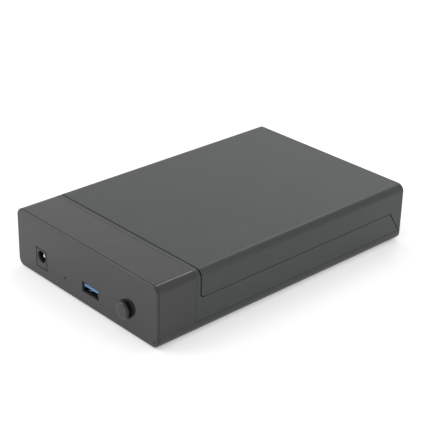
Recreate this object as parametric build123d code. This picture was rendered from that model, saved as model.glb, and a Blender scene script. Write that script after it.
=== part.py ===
from build123d import *
import os

# A desktop enclosure for one 3.5 inch hard drive, shut and empty. All lengths are millimetres.
# X runs across the port face, Y from the port face to the rear, and Z up.
# The origin is the middle of the whole footprint, button included, on the surface it stands on.
# Heights are measured from the underside of the casing, depths from the port face, and places
# across the port face from its middle.

# Casing
WIDTH = 115.5
LENGTH = 180.0
BODY_HEIGHT = 34.0
EDGE_RADIUS = 4.3
PORT_FACE_EDGE = 1.0
REAR_FACE_EDGE = 0.8
SEAM_EDGE = 0.25
CAP_SEAM_EDGE = 0.1
WALL = 2.0
FLOOR = 2.0

# Seams
PAN_SEAM_HEIGHT = 6.3
LID_SEAM_HEIGHT = 19.0
CAP_SEAM_DEPTH = 24.3
LID_SEAM_DEPTH = 27.45
SLANT_TOP_FROM_REAR = 10.4
SLANT_FOOT_FROM_REAR = 2.0
LID_CORNER_RADIUS = 2.2
FIXED_GAP = 0.2
CAP_SEAM_GAP = 0.1
LID_SIDE_GAP = 0.3
LID_FRONT_GAP = 0.6
SLANT_GAP = 0.5
SKIRT_THICKNESS = 1.25
SKIRT_CLEARANCE = 0.25
SKIRT_OVERLAP = 2.2

# Rails that the lid slides on
SLIDE_CLEARANCE = 0.3
RAIL_THICKNESS = 1.5
SHELF_THICKNESS = 1.9
LID_RIB_WIDTH = 1.0
LID_RIB_HEIGHT = 2.4
LID_RIB_SET_BACK = 2.0
LIP_HEIGHT = 1.4
LIP_SET_BACK = 1.0
LID_TONGUE_THICKNESS = 1.0
LID_TONGUE_ROOT = 3.0
LID_TONGUE_STEP = 0.5

# Bulkhead between the board and the drive bay
BULKHEAD_THICKNESS = 1.4
WINDOW_CLEARANCE = 1.0
AIR_SLOTS = 12
AIR_SLOT_WIDTH = 3.0
AIR_SLOT_PITCH = 8.0
AIR_SLOT_INSET = 5.0

# Drive bay
DRIVE_LENGTH = 147.0
DRIVE_HEIGHT = 26.1
DRIVE_REST_HEIGHT = 4.4
DRIVE_RIB_THICKNESS = 1.6
DRIVE_RIB_OFFSETS = (18.3, 43.7)

# Foam strips
FOAM_WIDTH = 80.0
FOAM_STRIP = 12.0
FOAM_FROM_END = 12.0
FOAM_EDGE = 0.3
TOP_FOAM_THICKNESS = 1.3
REAR_FOAM_FREE_SPACE = 0.4

# Vent slots in the floor
VENT_LENGTH = 18.0
VENT_WIDTH = 2.0
VENT_PITCH = 5.0
VENTS_PER_GROUP = 7
VENT_GROUP_OFFSET = 31.0

# Feet
FOOT_PROUD = 0.6
FOOT_RECESS = 1.0
FOOT_RADIUS = 5.0
FOOT_FIT = 0.2
FOOT_INSET_X = 10.25
FOOT_INSET_Y = 13.0

# Screws through the pan and the frame into the cap
CASE_SCREW_RADIUS = 1.4
CASE_SCREW_LENGTH = 11.0
CASE_HEAD_RADIUS = 2.6
CASE_HEAD_HEIGHT = 1.8
SCREW_FIT = 0.05
HEAD_FIT = 0.3
SCREW_SHOULDER = 1.4
LUG_THICKNESS = 1.6
BOSS_WALL = 2.1
TOWER_WALL = 1.0
CROSS_SLOT_WIDTH = 0.6
CROSS_SLOT_DEPTH = 0.9

# Ports
DC_ACROSS = -36.4
LIGHT_ACROSS = -16.0
USB_ACROSS = 5.4
BUTTON_ACROSS = 33.6
LIGHT_HEIGHT = 8.5
LIGHT_RADIUS = 0.6
PORT_GAP = 0.2
DC_GAP = 0.3
DIMPLE_FROM_SIDE = 2.5
DIMPLE_HEIGHT = 3.5
DIMPLE_RADIUS = 1.6
DIMPLE_DEPTH = 0.4

# Controller board
BOARD_TOP_HEIGHT = 6.0
BOARD_THICKNESS = 1.6
BOARD_CORNER = 1.0
BOARD_SIDE_GAP = 0.4
BOARD_FRONT_GAP = 0.3
BOARD_REAR_GAP = 0.5
BOARD_SCREW_RADIUS = 1.1
BOARD_SCREW_LENGTH = 5.0
BOARD_HEAD_RADIUS = 2.1
BOARD_HEAD_HEIGHT = 1.4
BOARD_HOLE_FIT = 0.2
POST_WALL = 1.4
LEG_HOLE_RADIUS = 0.75
LEG_BELOW_BOARD = 1.0

# DC socket
DC_WIDTH = 9.0
DC_HEIGHT = 10.8
DC_DEPTH = 14.2
DC_SET_BACK = 0.0
DC_AXIS = 6.5
DC_BORE_RADIUS = 3.15
DC_BORE_DEPTH = 10.0
DC_MOUTH_FLARE = 0.35
DC_COLLAR_DEPTH = 4.0
DC_REAR_STEP = 1.2
DC_PIN_RADIUS = 1.05
DC_PIN_SET_BACK = 1.5
DC_PLATE_THICKNESS = 0.4
DC_PLATE_WIDTH = 1.4
DC_LEAF_THICKNESS = 0.3
DC_LEAF_WIDTH = 2.2
DC_LEAF_BOW = 0.75
DC_POCKET_DEPTH = 0.9
DC_FIT = 0.2

# USB 3 type A socket
USB_WIDTH = 13.2
USB_HEIGHT = 5.7
USB_DEPTH = 16.6
USB_SET_BACK = 0.2
USB_AXIS = 4.3
USB_SHEET = 0.3
USB_CORNER = 0.6
USB_FIT = 0.05
USB_TAB_OFFSET = 3.4
USB_TAB_WIDTH = 2.2
USB_TAB_START = 2.2
USB_TAB_LENGTH = 5.8
USB_TAB_BEND = 0.45
USB_TAB_SHEET = 0.2
USB_LEG_DEPTHS = (4.5, 13.5)
USB_LEG_WIDTH = 1.1
TONGUE_WIDTH = 11.2
TONGUE_THICKNESS = 1.8
TONGUE_LENGTH = 10.5
TONGUE_SET_BACK = 0.3
TONGUE_RISE = 0.25
TONGUE_EDGE = 0.25
CONTACT_SHEET = 0.2
SPRUNG_CONTACT_WIDTH = 0.7
SPRUNG_CONTACT_BOW = 0.75
FLAT_CONTACT_WIDTH = 0.6
CONTACT_PAD_LENGTH = 1.4
SPRUNG_CONTACTS = (-3.5, -1.0, 1.0, 3.5)
FLAT_CONTACTS = (-4.2, -2.1, 0.0, 2.1, 4.2)

# Drive connector
SATA_OFFSET = -20.7
SATA_WIDTH = 42.0
SATA_HEIGHT = 5.6
SATA_DEPTH = 9.2
SATA_START = 18.2
SATA_EDGE = 0.6
SATA_PITCH = 1.27
SATA_SIGNAL_PINS = 7
SATA_POWER_PINS = 15
SATA_GROUP_SPACING = 6.35
SATA_SLOT_HEIGHT = 2.4
SATA_SLOT_DEPTH = 6.0
SATA_SLOT_FLOOR = 1.6
SATA_SLOT_END = 1.4
SATA_KEY_WIDTH = 1.0
SATA_KEY_DROP = 0.6
SATA_GUIDE_WIDTH = 1.4
SATA_GUIDE_DEPTH = 5.0
SATA_CONTACT_WIDTH = 0.6
SATA_TAIL = 1.1

# Power button and switch
BUTTON_RADIUS = 4.8
BUTTON_PROUD = 3.0
BUTTON_TRAVEL = 2.5
BUTTON_EDGE = 1.4
BUTTON_FLANGE = 1.0
BUTTON_FLANGE_THICKNESS = 1.2
BUTTON_FIT = 0.2
BUTTON_AXIS = 6.55
SLEEVE_RADIUS = 3.0
SOCKET_DEPTH = 3.0
STEM_WIDTH = 3.2
STEM_FIT = 0.05
STEM_GAP = 1.2
SWITCH_WIDTH = 8.5
SWITCH_HEIGHT = 12.0
SWITCH_DEPTH = 9.0
SWITCH_START = 10.8
SWITCH_WALL = 1.0
SWITCH_EDGE = 0.4
PLUNGER_COLLAR = 5.0
PLUNGER_COLLAR_LENGTH = 2.0
PLUNGER_FIT = 0.2
TERMINAL_SPACING = 5.0
TERMINAL_PITCH = 2.5
TERMINAL_START = 2.0
TERMINAL_WIDTH = 0.8
TERMINAL_THICKNESS = 0.5
SPRING_WIRE = 0.36
SPRING_TURNS = 4
SPRING_RADIUS = 1.8

# Small parts on the board: places are (across from the middle, depth)
BOARD_SCREW_SPOTS = [(-28.0, 6.2), (17.5, 5.4), (40.8, 19.0)]
BRIDGE_SPOT = (19.4, 15.0)
FLASH_SPOT = (8.0, 20.3)
REGULATOR_SPOT = (-10.4, 5.9)
INDUCTOR_SPOT = (-26.5, 13.4)
CAPACITOR_SPOTS = [(-18.5, 13.2), (-10.5, 13.2)]
DIODE_SPOT = (-22.7, 4.4)
CRYSTAL_SPOT = (26.4, 8.2)
CERAMIC_SPOTS = [(13.2, 12.2), (13.2, 17.0), (26.0, 12.6), (26.0, 16.8), (20.8, 21.8), (42.6, 8.4)]
RESISTOR_SPOTS = [(13.2, 14.6), (26.0, 14.7), (17.4, 21.8), (24.2, 21.8), (42.6, 11.0), (-5.3, 8.6)]
BRIDGE_WIDTH = 9.0
BRIDGE_LEADS = 12
BRIDGE_PITCH = 0.65
SMALL_CHIP_WIDTH = 3.9
SMALL_CHIP_LENGTH = 4.9
SMALL_CHIP_LEADS = 4
SMALL_CHIP_PITCH = 1.27
CHIP_LIFT = 0.1
CHIP_HEIGHT = 1.4
CHIP_EDGE = 0.2
CHIP_MARK_RADIUS = 0.35
CHIP_MARK_INSET = 0.9
LEAD_REACH = 1.0
LEAD_SHEET = 0.15
LEAD_SHARE_OF_PITCH = 0.4
INDUCTOR_WIDTH = 6.0
INDUCTOR_HEIGHT = 4.2
INDUCTOR_CORNER = 1.2
INDUCTOR_RING = 0.4
INDUCTOR_TERMINAL_WIDTH = 3.2
INDUCTOR_TERMINAL_LENGTH = 1.4
INDUCTOR_TERMINAL_HEIGHT = 0.2
CAN_RADIUS = 3.15
CAN_HEIGHT = 7.0
CAN_EDGE = 0.3
CAN_GROOVE = 0.25
CAN_GROOVE_HEIGHT = 1.0
CAN_SCORE_LENGTH = 3.2
CAN_BASE_HEIGHT = 0.8
CAN_BASE_CORNER = 0.9
DIODE_SIZE = (4.2, 2.6, 2.1)
CRYSTAL_BASE = (3.2, 2.5, 0.3)
CRYSTAL_CAN = (2.9, 2.2, 0.6)
CERAMIC_SIZE = (2.0, 1.25, 1.0)
RESISTOR_SIZE = (1.6, 0.8, 0.5)
END_CAP = 0.4
END_CAP_PROUD = 0.05
LED_WIDTH = 3.2
LED_DEPTH = 1.4
LED_LENS_RADIUS = 0.7
LED_LENS_LENGTH = 0.5
LIGHT_PIPE_LENGTH = 3.0
LIGHT_PIPE_ROOT = 0.5
LIGHT_PIPE_SET_BACK = 0.4
LIGHT_PIPE_GAP = 0.2
LIGHT_PIPE_FIT = 0.05

# How far a joined shape runs into its neighbour, and how far a cut runs past a surface
FUSE = 0.5
PAST = 1.0

# Places and heights that follow from the sizes above
left = -WIDTH / 2
right = WIDTH / 2
front = (BUTTON_PROUD - LENGTH) / 2
rear = front + LENGTH
bottom = FOOT_PROUD
top = bottom + BODY_HEIGHT
whole_x = (left - PAST, right + PAST)
whole_y = (front - PAST, rear + PAST)
whole_z = (bottom - PAST, top + PAST)
floor_top = bottom + FLOOR
floor_middle = bottom + FLOOR / 2
pan_seam = bottom + PAN_SEAM_HEIGHT
pan_top = pan_seam - FIXED_GAP / 2
above_pan = pan_seam + FIXED_GAP / 2
skirt_top = pan_seam + SKIRT_OVERLAP
lid_seam = bottom + LID_SEAM_HEIGHT
cap_rear = front + CAP_SEAM_DEPTH - CAP_SEAM_GAP / 2
collar_front = cap_rear + CAP_SEAM_GAP
collar_rear = front + LID_SEAM_DEPTH - LID_FRONT_GAP / 2
lid_front = collar_rear + LID_FRONT_GAP
bulkhead_rear = collar_front + BULKHEAD_THICKNESS
slant_top = rear - SLANT_TOP_FROM_REAR
slant_foot = rear - SLANT_FOOT_FROM_REAR
inner_side = WIDTH / 2 - WALL
inner_rear = rear - WALL
lid_underside = top - WALL
rib_tip = inner_side - LID_RIB_WIDTH
rail_outer = rib_tip - SLIDE_CLEARANCE
rail_inner = rail_outer - RAIL_THICKNESS
rail_rear = inner_rear - SLIDE_CLEARANCE
shelf_top = lid_seam - LID_SIDE_GAP / 2
lid_bottom = lid_seam + LID_SIDE_GAP / 2
rib_bottom = shelf_top + SLIDE_CLEARANCE
rib_top = rib_bottom + LID_RIB_HEIGHT
lip_bottom = rib_top + SLIDE_CLEARANCE
rail_top = lip_bottom + LIP_HEIGHT
sata_front = front + SATA_START
sata_rear = sata_front + SATA_DEPTH
drive_bottom = bottom + DRIVE_REST_HEIGHT
drive_front = sata_rear + FIXED_GAP
drive_rear = drive_front + DRIVE_LENGTH
head_seat = bottom + FOOT_RECESS + CASE_HEAD_HEIGHT + HEAD_FIT
tower_top = head_seat + SCREW_SHOULDER
lug_bottom = tower_top + SCREW_FIT
lug_top = lug_bottom + LUG_THICKNESS
boss_radius = CASE_SCREW_RADIUS + BOSS_WALL
tower_radius = CASE_HEAD_RADIUS + HEAD_FIT + TOWER_WALL
board_top = bottom + BOARD_TOP_HEIGHT
board_bottom = board_top - BOARD_THICKNESS
board_side = right - FOOT_INSET_X - max(boss_radius, tower_radius) - BOARD_SIDE_GAP
board_front = front + WALL + BOARD_FRONT_GAP
board_rear = collar_front - BOARD_REAR_GAP
leg_bottom = board_bottom - LEG_BELOW_BOARD
sata_top = board_top + SATA_HEIGHT
sata_slot_floor = board_top + SATA_SLOT_FLOOR
dc_z = board_top + DC_AXIS
dc_front = front + DC_SET_BACK
dc_rear = dc_front + DC_DEPTH
dc_plate_rear = dc_rear - DC_PLATE_THICKNESS
dc_wall = DC_ACROSS + DC_BORE_RADIUS
dc_leaf_x = dc_wall + DC_POCKET_DEPTH - DC_FIT - DC_LEAF_THICKNESS
light_z = bottom + LIGHT_HEIGHT
light_pipe_rear = front + LIGHT_PIPE_SET_BACK + LIGHT_PIPE_LENGTH
usb_z = board_top + USB_AXIS
usb_front = front + USB_SET_BACK
usb_rear = usb_front + USB_DEPTH
usb_block_front = usb_front + TONGUE_SET_BACK + TONGUE_LENGTH
tongue_low = usb_z + TONGUE_RISE
button_z = board_top + BUTTON_AXIS
flange_front = front + WALL + BUTTON_FIT
switch_front = front + SWITCH_START
switch_rear = switch_front + SWITCH_DEPTH
plunger_collar_front = switch_front + SWITCH_WALL + BUTTON_FIT
stem_front = switch_front - BUTTON_TRAVEL - SOCKET_DEPTH - STEM_GAP
foot_spots = {
    "front_left": (left + FOOT_INSET_X, front + FOOT_INSET_Y),
    "front_right": (right - FOOT_INSET_X, front + FOOT_INSET_Y),
    "rear_left": (left + FOOT_INSET_X, rear - FOOT_INSET_Y),
    "rear_right": (right - FOOT_INSET_X, rear - FOOT_INSET_Y),
}
case_screw_spots = [foot_spots["front_left"], foot_spots["front_right"]]


def block(x, y, z):
    """Box between three (low, high) pairs."""
    centre = [(low + high) / 2 for low, high in (x, y, z)]
    size = [high - low for low, high in (x, y, z)]
    return Pos(*centre) * Box(*size)


def around(centre, half):
    """The (low, high) pair that reaches half to each side of centre."""
    return (centre - half, centre + half)


def upright(x, y, z, radius):
    """Cylinder along Z between the (low, high) pair z."""
    return Pos(x, y, (z[0] + z[1]) / 2) * Cylinder(radius, z[1] - z[0])


def lengthwise(x, z, y, radius):
    """Cylinder along Y between the (low, high) pair y."""
    return Pos(x, (y[0] + y[1]) / 2, z) * Rot(90, 0, 0) * Cylinder(radius, y[1] - y[0])


def side_prism(outline, x):
    """Solid with the side view given by an outline in (y, z), between the (low, high) pair x."""
    plane = Plane(origin=(x[0], 0, 0), x_dir=(0, 1, 0), z_dir=(1, 0, 0))
    return extrude(plane * outline, x[1] - x[0], dir=(1, 0, 0))


def polygon(*points):
    """Outline through points."""
    return Polygon(*points, align=None)


def strip(points, sheet):
    """Outline of a bent sheet: points on one face, and the same points moved by sheet."""
    across, up = sheet
    return polygon(*points, *[(a + across, b + up) for a, b in reversed(points)])


def casing_bar(y, inset=0.0, front_edge=0.0, rear_edge=0.0):
    """Solid length of the casing's rounded section, drawn in by inset, with rounded ends."""
    plane = Plane(origin=(0, y[1], bottom + BODY_HEIGHT / 2), x_dir=(1, 0, 0), z_dir=(0, -1, 0))
    radius = max(EDGE_RADIUS - inset, SEAM_EDGE)
    section = RectangleRounded(WIDTH - 2 * inset, BODY_HEIGHT - 2 * inset, radius)
    solid = extrude(plane * section, y[1] - y[0])
    if front_edge:
        solid = fillet(solid.faces().sort_by(Axis.Y)[0].edges(), front_edge)
    if rear_edge:
        solid = fillet(solid.faces().sort_by(Axis.Y)[-1].edges(), rear_edge)
    return solid


def both_sides(solid):
    """The solid and its mirror image across the middle of the casing."""
    return solid + mirror(solid, about=Plane.YZ)


def group(solids):
    """Separate solids kept together as one node."""
    return Compound([piece for solid in solids for piece in solid.solids()])


def board_place(spot):
    """X and Y of a place given across from the middle and in depth from the port face."""
    return spot[0], front + spot[1]


def part_on_board(spot, size, lift=0.0):
    """Box of a small part that stands at a place on the board."""
    x, y = board_place(spot)
    low = board_top + lift
    return block(around(x, size[0] / 2), around(y, size[1] / 2), (low, low + size[2]))


def screw(x, y, seat, length, radius, head_radius, head_height, upwards):
    """Pan head screw with a cross recess and a blunt point. Its head's inner face is at seat."""
    head = Pos(0, 0, -head_height / 2) * Cylinder(head_radius, head_height)
    head = fillet(head.edges().sort_by(Axis.Z)[0], head_height / 2)
    slot = block(
        around(0, head_radius / 2),
        around(0, CROSS_SLOT_WIDTH / 2),
        (-head_height - PAST, CROSS_SLOT_DEPTH - head_height),
    )
    head -= slot + Rot(0, 0, 90) * slot
    shank = upright(0, 0, (0, length - radius), radius)
    point = Pos(0, 0, length - radius / 2) * Cone(radius, radius / 3, radius)
    turn = Rot(0, 0, 0) if upwards else Rot(180, 0, 0)
    return Pos(x, y, seat) * turn * (head + shank + point)


def inner_skirt(y):
    """Strip inside both pan walls that keeps the walls above the low seam in line."""
    outer = inner_side - SKIRT_CLEARANCE
    inner = outer - SKIRT_THICKNESS
    hanging = block((inner, outer), y, (pan_seam - SKIRT_OVERLAP, skirt_top))
    joined = block((inner, inner_side + FUSE), y, (pan_seam + FIXED_GAP, skirt_top))
    return both_sides(hanging + joined)


def bottom_pan():
    """Shallow pan with the lower rounded edges, the drive's ribs, vents and screw towers."""
    pan_front = front + WALL + CAP_SEAM_GAP
    pan = casing_bar((pan_front, rear), rear_edge=REAR_FACE_EDGE)
    pan -= casing_bar((pan_front - PAST, inner_rear), WALL)
    pan &= block(whole_x, whole_y, (whole_z[0], pan_top))
    pan += drive_ribs()
    for x, y in case_screw_spots:
        pan += upright(x, y, (floor_middle, tower_top), tower_radius)
    for x, y in map(board_place, BOARD_SCREW_SPOTS):
        pan += upright(x, y, (floor_middle, board_bottom), BOARD_SCREW_RADIUS + POST_WALL)
    pan -= vent_slots()
    for x, y in foot_spots.values():
        pan -= upright(x, y, (bottom - PAST, bottom + FOOT_RECESS), FOOT_RADIUS + FOOT_FIT)
    for x, y in case_screw_spots:
        pan -= upright(x, y, (bottom, head_seat), CASE_HEAD_RADIUS + HEAD_FIT)
        pan -= upright(x, y, (bottom, tower_top + PAST), CASE_SCREW_RADIUS + HEAD_FIT)
    for x, y in map(board_place, BOARD_SCREW_SPOTS):
        hole_bottom = board_top - BOARD_SCREW_LENGTH - SCREW_FIT
        pan -= upright(x, y, (hole_bottom, board_top), BOARD_SCREW_RADIUS + SCREW_FIT)
    return pan


def drive_ribs():
    """Long ribs on the floor that the drive rests on."""
    ribs = Part()
    for offset in DRIVE_RIB_OFFSETS:
        x = around(offset, DRIVE_RIB_THICKNESS / 2)
        ribs += both_sides(block(x, (drive_front, inner_rear + FUSE), (floor_middle, drive_bottom)))
    return ribs


def vent_slots():
    """Two rows of slots through the floor, below the drive."""
    middle = (drive_front + drive_rear) / 2
    slot = extrude(SlotOverall(VENT_LENGTH, VENT_WIDTH), FLOOR + PAST, both=True)
    slots = Part()
    for index in range(VENTS_PER_GROUP):
        y = middle + (index - (VENTS_PER_GROUP - 1) / 2) * VENT_PITCH
        slots += both_sides(Pos(VENT_GROUP_OFFSET, y, bottom) * slot)
    return slots


def side_frame():
    """Side walls between the seams, collar over the top, bulkhead, and the lid's two rails."""
    half_gap = SLANT_GAP / 2
    walls = polygon(
        (collar_front, above_pan),
        (slant_foot - half_gap, above_pan),
        (slant_top - half_gap, shelf_top),
        (collar_front, shelf_top),
    )
    frame = side_prism(walls, whole_x) & casing_bar((collar_front, rear))
    collar = casing_bar((collar_front, collar_rear), 0, CAP_SEAM_EDGE, SEAM_EDGE)
    frame += collar & block(whole_x, whole_y, (above_pan, whole_z[1]))
    frame += lid_corner_web() & casing_bar((collar_front, rear))
    frame -= casing_bar((front, rear), WALL)
    frame += bulkhead()
    frame += cap_spigot()
    frame += both_sides(rail())
    frame += inner_skirt((bulkhead_rear - FUSE, slant_top - WALL))
    frame += frame_lugs()
    return frame


def lid_corner_web():
    """Hollow corner between the collar and the side walls that follows the lid's rounded corner."""
    y = collar_rear + LID_CORNER_RADIUS
    z = shelf_top + LID_CORNER_RADIUS
    web = block(whole_x, (collar_rear - FUSE, y), (shelf_top - FUSE, z))
    return web - Pos(0, y, z) * Rot(0, 90, 0) * Cylinder(LID_CORNER_RADIUS, 2 * whole_x[1])


def bulkhead():
    """Wall across the casing behind the board, with a window for the drive connector."""
    depth = (collar_front, bulkhead_rear)
    low_part = casing_bar(depth, WALL + SKIRT_CLEARANCE)
    low_part &= block(whole_x, whole_y, (floor_top + FIXED_GAP, top))
    high_part = casing_bar(depth, WALL - FUSE)
    high_part &= block(whole_x, whole_y, (skirt_top, top))
    window = block(
        around(SATA_OFFSET, SATA_WIDTH / 2 + WINDOW_CLEARANCE),
        whole_y,
        (bottom, sata_top + WINDOW_CLEARANCE),
    )
    return low_part + high_part - window - bulkhead_slots()


def bulkhead_slots():
    """Upright air slots through the bulkhead above the drive connector."""
    heights = (sata_top + AIR_SLOT_INSET, lid_underside - AIR_SLOT_INSET)
    slots = Part()
    for index in range(AIR_SLOTS):
        x = (index - (AIR_SLOTS - 1) / 2) * AIR_SLOT_PITCH
        slots += block(around(x, AIR_SLOT_WIDTH / 2), whole_y, heights)
    return slots


def cap_spigot():
    """Thin ring ahead of the collar that the cap slides over."""
    inset = WALL + SKIRT_CLEARANCE
    ring = casing_bar((collar_front - SKIRT_OVERLAP, bulkhead_rear), inset)
    ring -= casing_bar((front, rear), inset + SKIRT_THICKNESS)
    return ring & block(whole_x, whole_y, (skirt_top + FIXED_GAP, top))


def rail():
    """Right hand rail: a shelf, an upright flange and a lip that holds the lid's rib down."""
    depth = (bulkhead_rear - FUSE, rail_rear)
    shelf_heights = (shelf_top - SHELF_THICKNESS, shelf_top)
    reach = (rail_inner, inner_side - SLIDE_CLEARANCE)
    joint_depth = (depth[0], slant_top - SLANT_GAP)
    solid = block(reach, depth, shelf_heights)
    solid += block((rail_inner, inner_side + FUSE), joint_depth, shelf_heights)
    solid += block((rail_inner, rail_outer), depth, (shelf_top - FUSE, rail_top))
    return solid + block(reach, (lid_front + LIP_SET_BACK, rail_rear), (lip_bottom, rail_top))


def frame_lugs():
    """Two arms that reach forward from the bulkhead and are clamped under the cap's bosses."""
    lugs = Part()
    for x, y in case_screw_spots:
        arm = block(around(x, boss_radius), (y, bulkhead_rear), (lug_bottom, lug_top))
        arm += upright(x, y, (lug_bottom, lug_top), boss_radius)
        hole = upright(x, y, (lug_bottom - PAST, lug_top + PAST), CASE_SCREW_RADIUS + HEAD_FIT)
        lugs += arm - hole
    return lugs


def front_cap():
    """End cap with the port face, a top and two sides, closed below by the pan."""
    inner_front = front + WALL
    cap = casing_bar((front, cap_rear), 0, PORT_FACE_EDGE, CAP_SEAM_EDGE)
    cap -= casing_bar((inner_front, rear), WALL)
    cap -= block(whole_x, (inner_front, rear), (whole_z[0], pan_top + CAP_SEAM_GAP))
    cap += inner_skirt((inner_front, collar_front - SKIRT_OVERLAP - FIXED_GAP))
    for x, y in case_screw_spots:
        cap += upright(x, y, (lug_top + SCREW_FIT, lid_underside + FUSE), boss_radius)
        pilot_top = head_seat + CASE_SCREW_LENGTH + PAST
        cap -= upright(x, y, (bottom, pilot_top), CASE_SCREW_RADIUS + SCREW_FIT)
    return cap - port_cuts() - port_face_dimple()


def port_cuts():
    """Cut-outs in the port face for both sockets, the light and the button."""
    through = (front - PAST, front + WALL + FUSE)
    dc_cut = block(
        around(DC_ACROSS, DC_WIDTH / 2 + DC_GAP),
        through,
        (board_top - DC_GAP, board_top + DC_HEIGHT + DC_GAP),
    )
    usb_cut = block(
        around(USB_ACROSS, USB_WIDTH / 2 + PORT_GAP),
        through,
        around(usb_z, USB_HEIGHT / 2 + PORT_GAP),
    )
    light_cut = lengthwise(LIGHT_ACROSS, light_z, through, LIGHT_RADIUS)
    button_cut = lengthwise(BUTTON_ACROSS, button_z, through, BUTTON_RADIUS + BUTTON_FIT)
    return dc_cut + usb_cut + light_cut + button_cut


def port_face_dimple():
    """Ball that leaves a shallow dimple in the lower right corner of the port face."""
    y = front + DIMPLE_DEPTH - DIMPLE_RADIUS
    return Pos(right - DIMPLE_FROM_SIDE, y, bottom + DIMPLE_HEIGHT) * Sphere(DIMPLE_RADIUS)


def lid_side_view():
    """Side view of the lid: above its seam, and down to the low seam behind the slant."""
    low = pan_seam + LID_SIDE_GAP / 2
    half_gap = SLANT_GAP / 2
    outline = polygon(
        (lid_front, lid_bottom),
        (slant_top + half_gap, lid_bottom),
        (slant_foot + half_gap, low),
        (whole_y[1], low),
        (whole_y[1], whole_z[1]),
        (lid_front, whole_z[1]),
    )
    corner = outline.vertices().sort_by(Axis.X)[:2].sort_by(Axis.Y)[0]
    return fillet(corner, LID_CORNER_RADIUS)


def sliding_lid():
    """Lid with its rear wall, ribs that run under the rails' lips, and a front tongue."""
    lid = side_prism(lid_side_view(), whole_x)
    lid &= casing_bar((lid_front, rear), 0, SEAM_EDGE, REAR_FACE_EDGE)
    lid -= casing_bar((front, inner_rear), WALL)
    rib_depth = (lid_front + LID_RIB_SET_BACK, inner_rear + FUSE)
    lid += both_sides(block((rib_tip, inner_side + FUSE), rib_depth, (rib_bottom, rib_top)))
    return lid + lid_tongue()


def lid_tongue():
    """Plate under the lid's front edge that reaches below the collar."""
    half = inner_side - EDGE_RADIUS
    plate_top = lid_underside - SKIRT_CLEARANCE
    root_rear = lid_front + LID_TONGUE_ROOT
    plate_depth = (bulkhead_rear + SLIDE_CLEARANCE, root_rear)
    plate = block((-half, half), plate_depth, (plate_top - LID_TONGUE_THICKNESS, plate_top))
    step = block((-half, half), (lid_front + LID_TONGUE_STEP, root_rear), (plate_top - FUSE, top - FUSE))
    return plate + step


def foam_strip(y, z):
    """Foam strip across the bay with softened edges."""
    solid = block(around(0, FOAM_WIDTH / 2), y, z)
    return fillet(solid.edges().filter_by(Axis.X), FOAM_EDGE)


def lid_foam(y):
    """Foam strip under the lid's top."""
    return foam_strip((y, y + FOAM_STRIP), (lid_underside - TOP_FOAM_THICKNESS, lid_underside))


def rear_foam():
    """Foam strip on the lid's rear wall, filling the space left behind the drive."""
    middle = drive_bottom + DRIVE_HEIGHT / 2
    return foam_strip((drive_rear + REAR_FOAM_FREE_SPACE, inner_rear), around(middle, FOAM_STRIP / 2))


def foot(spot):
    """Round rubber foot in its recess."""
    pad = upright(*spot, (0, bottom + FOOT_RECESS), FOOT_RADIUS)
    return fillet(pad.edges().sort_by(Axis.Z)[0], FOOT_PROUD / 2)


def case_screws():
    """The screws under the front feet."""
    sizes = (CASE_SCREW_LENGTH, CASE_SCREW_RADIUS, CASE_HEAD_RADIUS, CASE_HEAD_HEIGHT)
    return group([screw(x, y, head_seat, *sizes, upwards=True) for x, y in case_screw_spots])


def board_screws():
    """The screws that hold the board on the pan's posts."""
    sizes = (BOARD_SCREW_LENGTH, BOARD_SCREW_RADIUS, BOARD_HEAD_RADIUS, BOARD_HEAD_HEIGHT)
    spots = map(board_place, BOARD_SCREW_SPOTS)
    return group([screw(x, y, board_top, *sizes, upwards=False) for x, y in spots])


def controller_board():
    """Circuit board with holes for its screws and for the legs that go through it."""
    board = block(around(0, board_side), (board_front, board_rear), (board_bottom, board_top))
    board = fillet(board.edges().filter_by(Axis.Z), BOARD_CORNER)
    through = (board_bottom - PAST, board_top + PAST)
    for x, y in map(board_place, BOARD_SCREW_SPOTS):
        board -= upright(x, y, through, BOARD_SCREW_RADIUS + BOARD_HOLE_FIT)
    for x, y in switch_terminal_places() + usb_leg_places() + dc_leg_places():
        board -= upright(x, y, through, LEG_HOLE_RADIUS)
    return board


def dc_leg_places():
    """Where the legs of the DC socket's pin and leaf go through the board."""
    plate_middle = dc_plate_rear - DC_PLATE_THICKNESS / 2
    leaf_middle = dc_leaf_x + DC_LEAF_THICKNESS / 2
    return [(DC_ACROSS, plate_middle), (leaf_middle, dc_rear + DC_FIT + DC_LEAF_THICKNESS / 2)]


def dc_jack_body():
    """Moulded socket with its round bore, a pocket for the leaf and a lower rear part."""
    x = around(DC_ACROSS, DC_WIDTH / 2)
    body_top = board_top + DC_HEIGHT
    body = block(x, (dc_front, dc_rear), (board_top, body_top))
    body -= block(x, (dc_front + DC_COLLAR_DEPTH, dc_rear), (body_top - DC_REAR_STEP, body_top))
    bore = (dc_front - PAST, dc_front + DC_BORE_DEPTH)
    body -= lengthwise(DC_ACROSS, dc_z, bore, DC_BORE_RADIUS)
    flare = Cone(DC_BORE_RADIUS, DC_BORE_RADIUS + DC_MOUTH_FLARE, 2 * DC_MOUTH_FLARE)
    body -= Pos(DC_ACROSS, dc_front + DC_MOUTH_FLARE, dc_z) * Rot(90, 0, 0) * flare
    pocket_x = (DC_ACROSS + DC_BORE_RADIUS / 2, dc_wall + DC_POCKET_DEPTH)
    pocket_y = (dc_front + DC_PIN_SET_BACK - DC_FIT, dc_rear)
    body -= block(pocket_x, pocket_y, around(dc_z, DC_LEAF_WIDTH / 2 + DC_FIT))
    body -= lengthwise(DC_ACROSS, dc_z, (dc_front, dc_plate_rear), DC_PIN_RADIUS)
    plate_y = (dc_plate_rear - DC_PLATE_THICKNESS, dc_rear)
    plate_z = (board_top, dc_z + DC_PIN_RADIUS + DC_FIT)
    return body - block(around(DC_ACROSS, DC_PLATE_WIDTH / 2), plate_y, plate_z)


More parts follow.
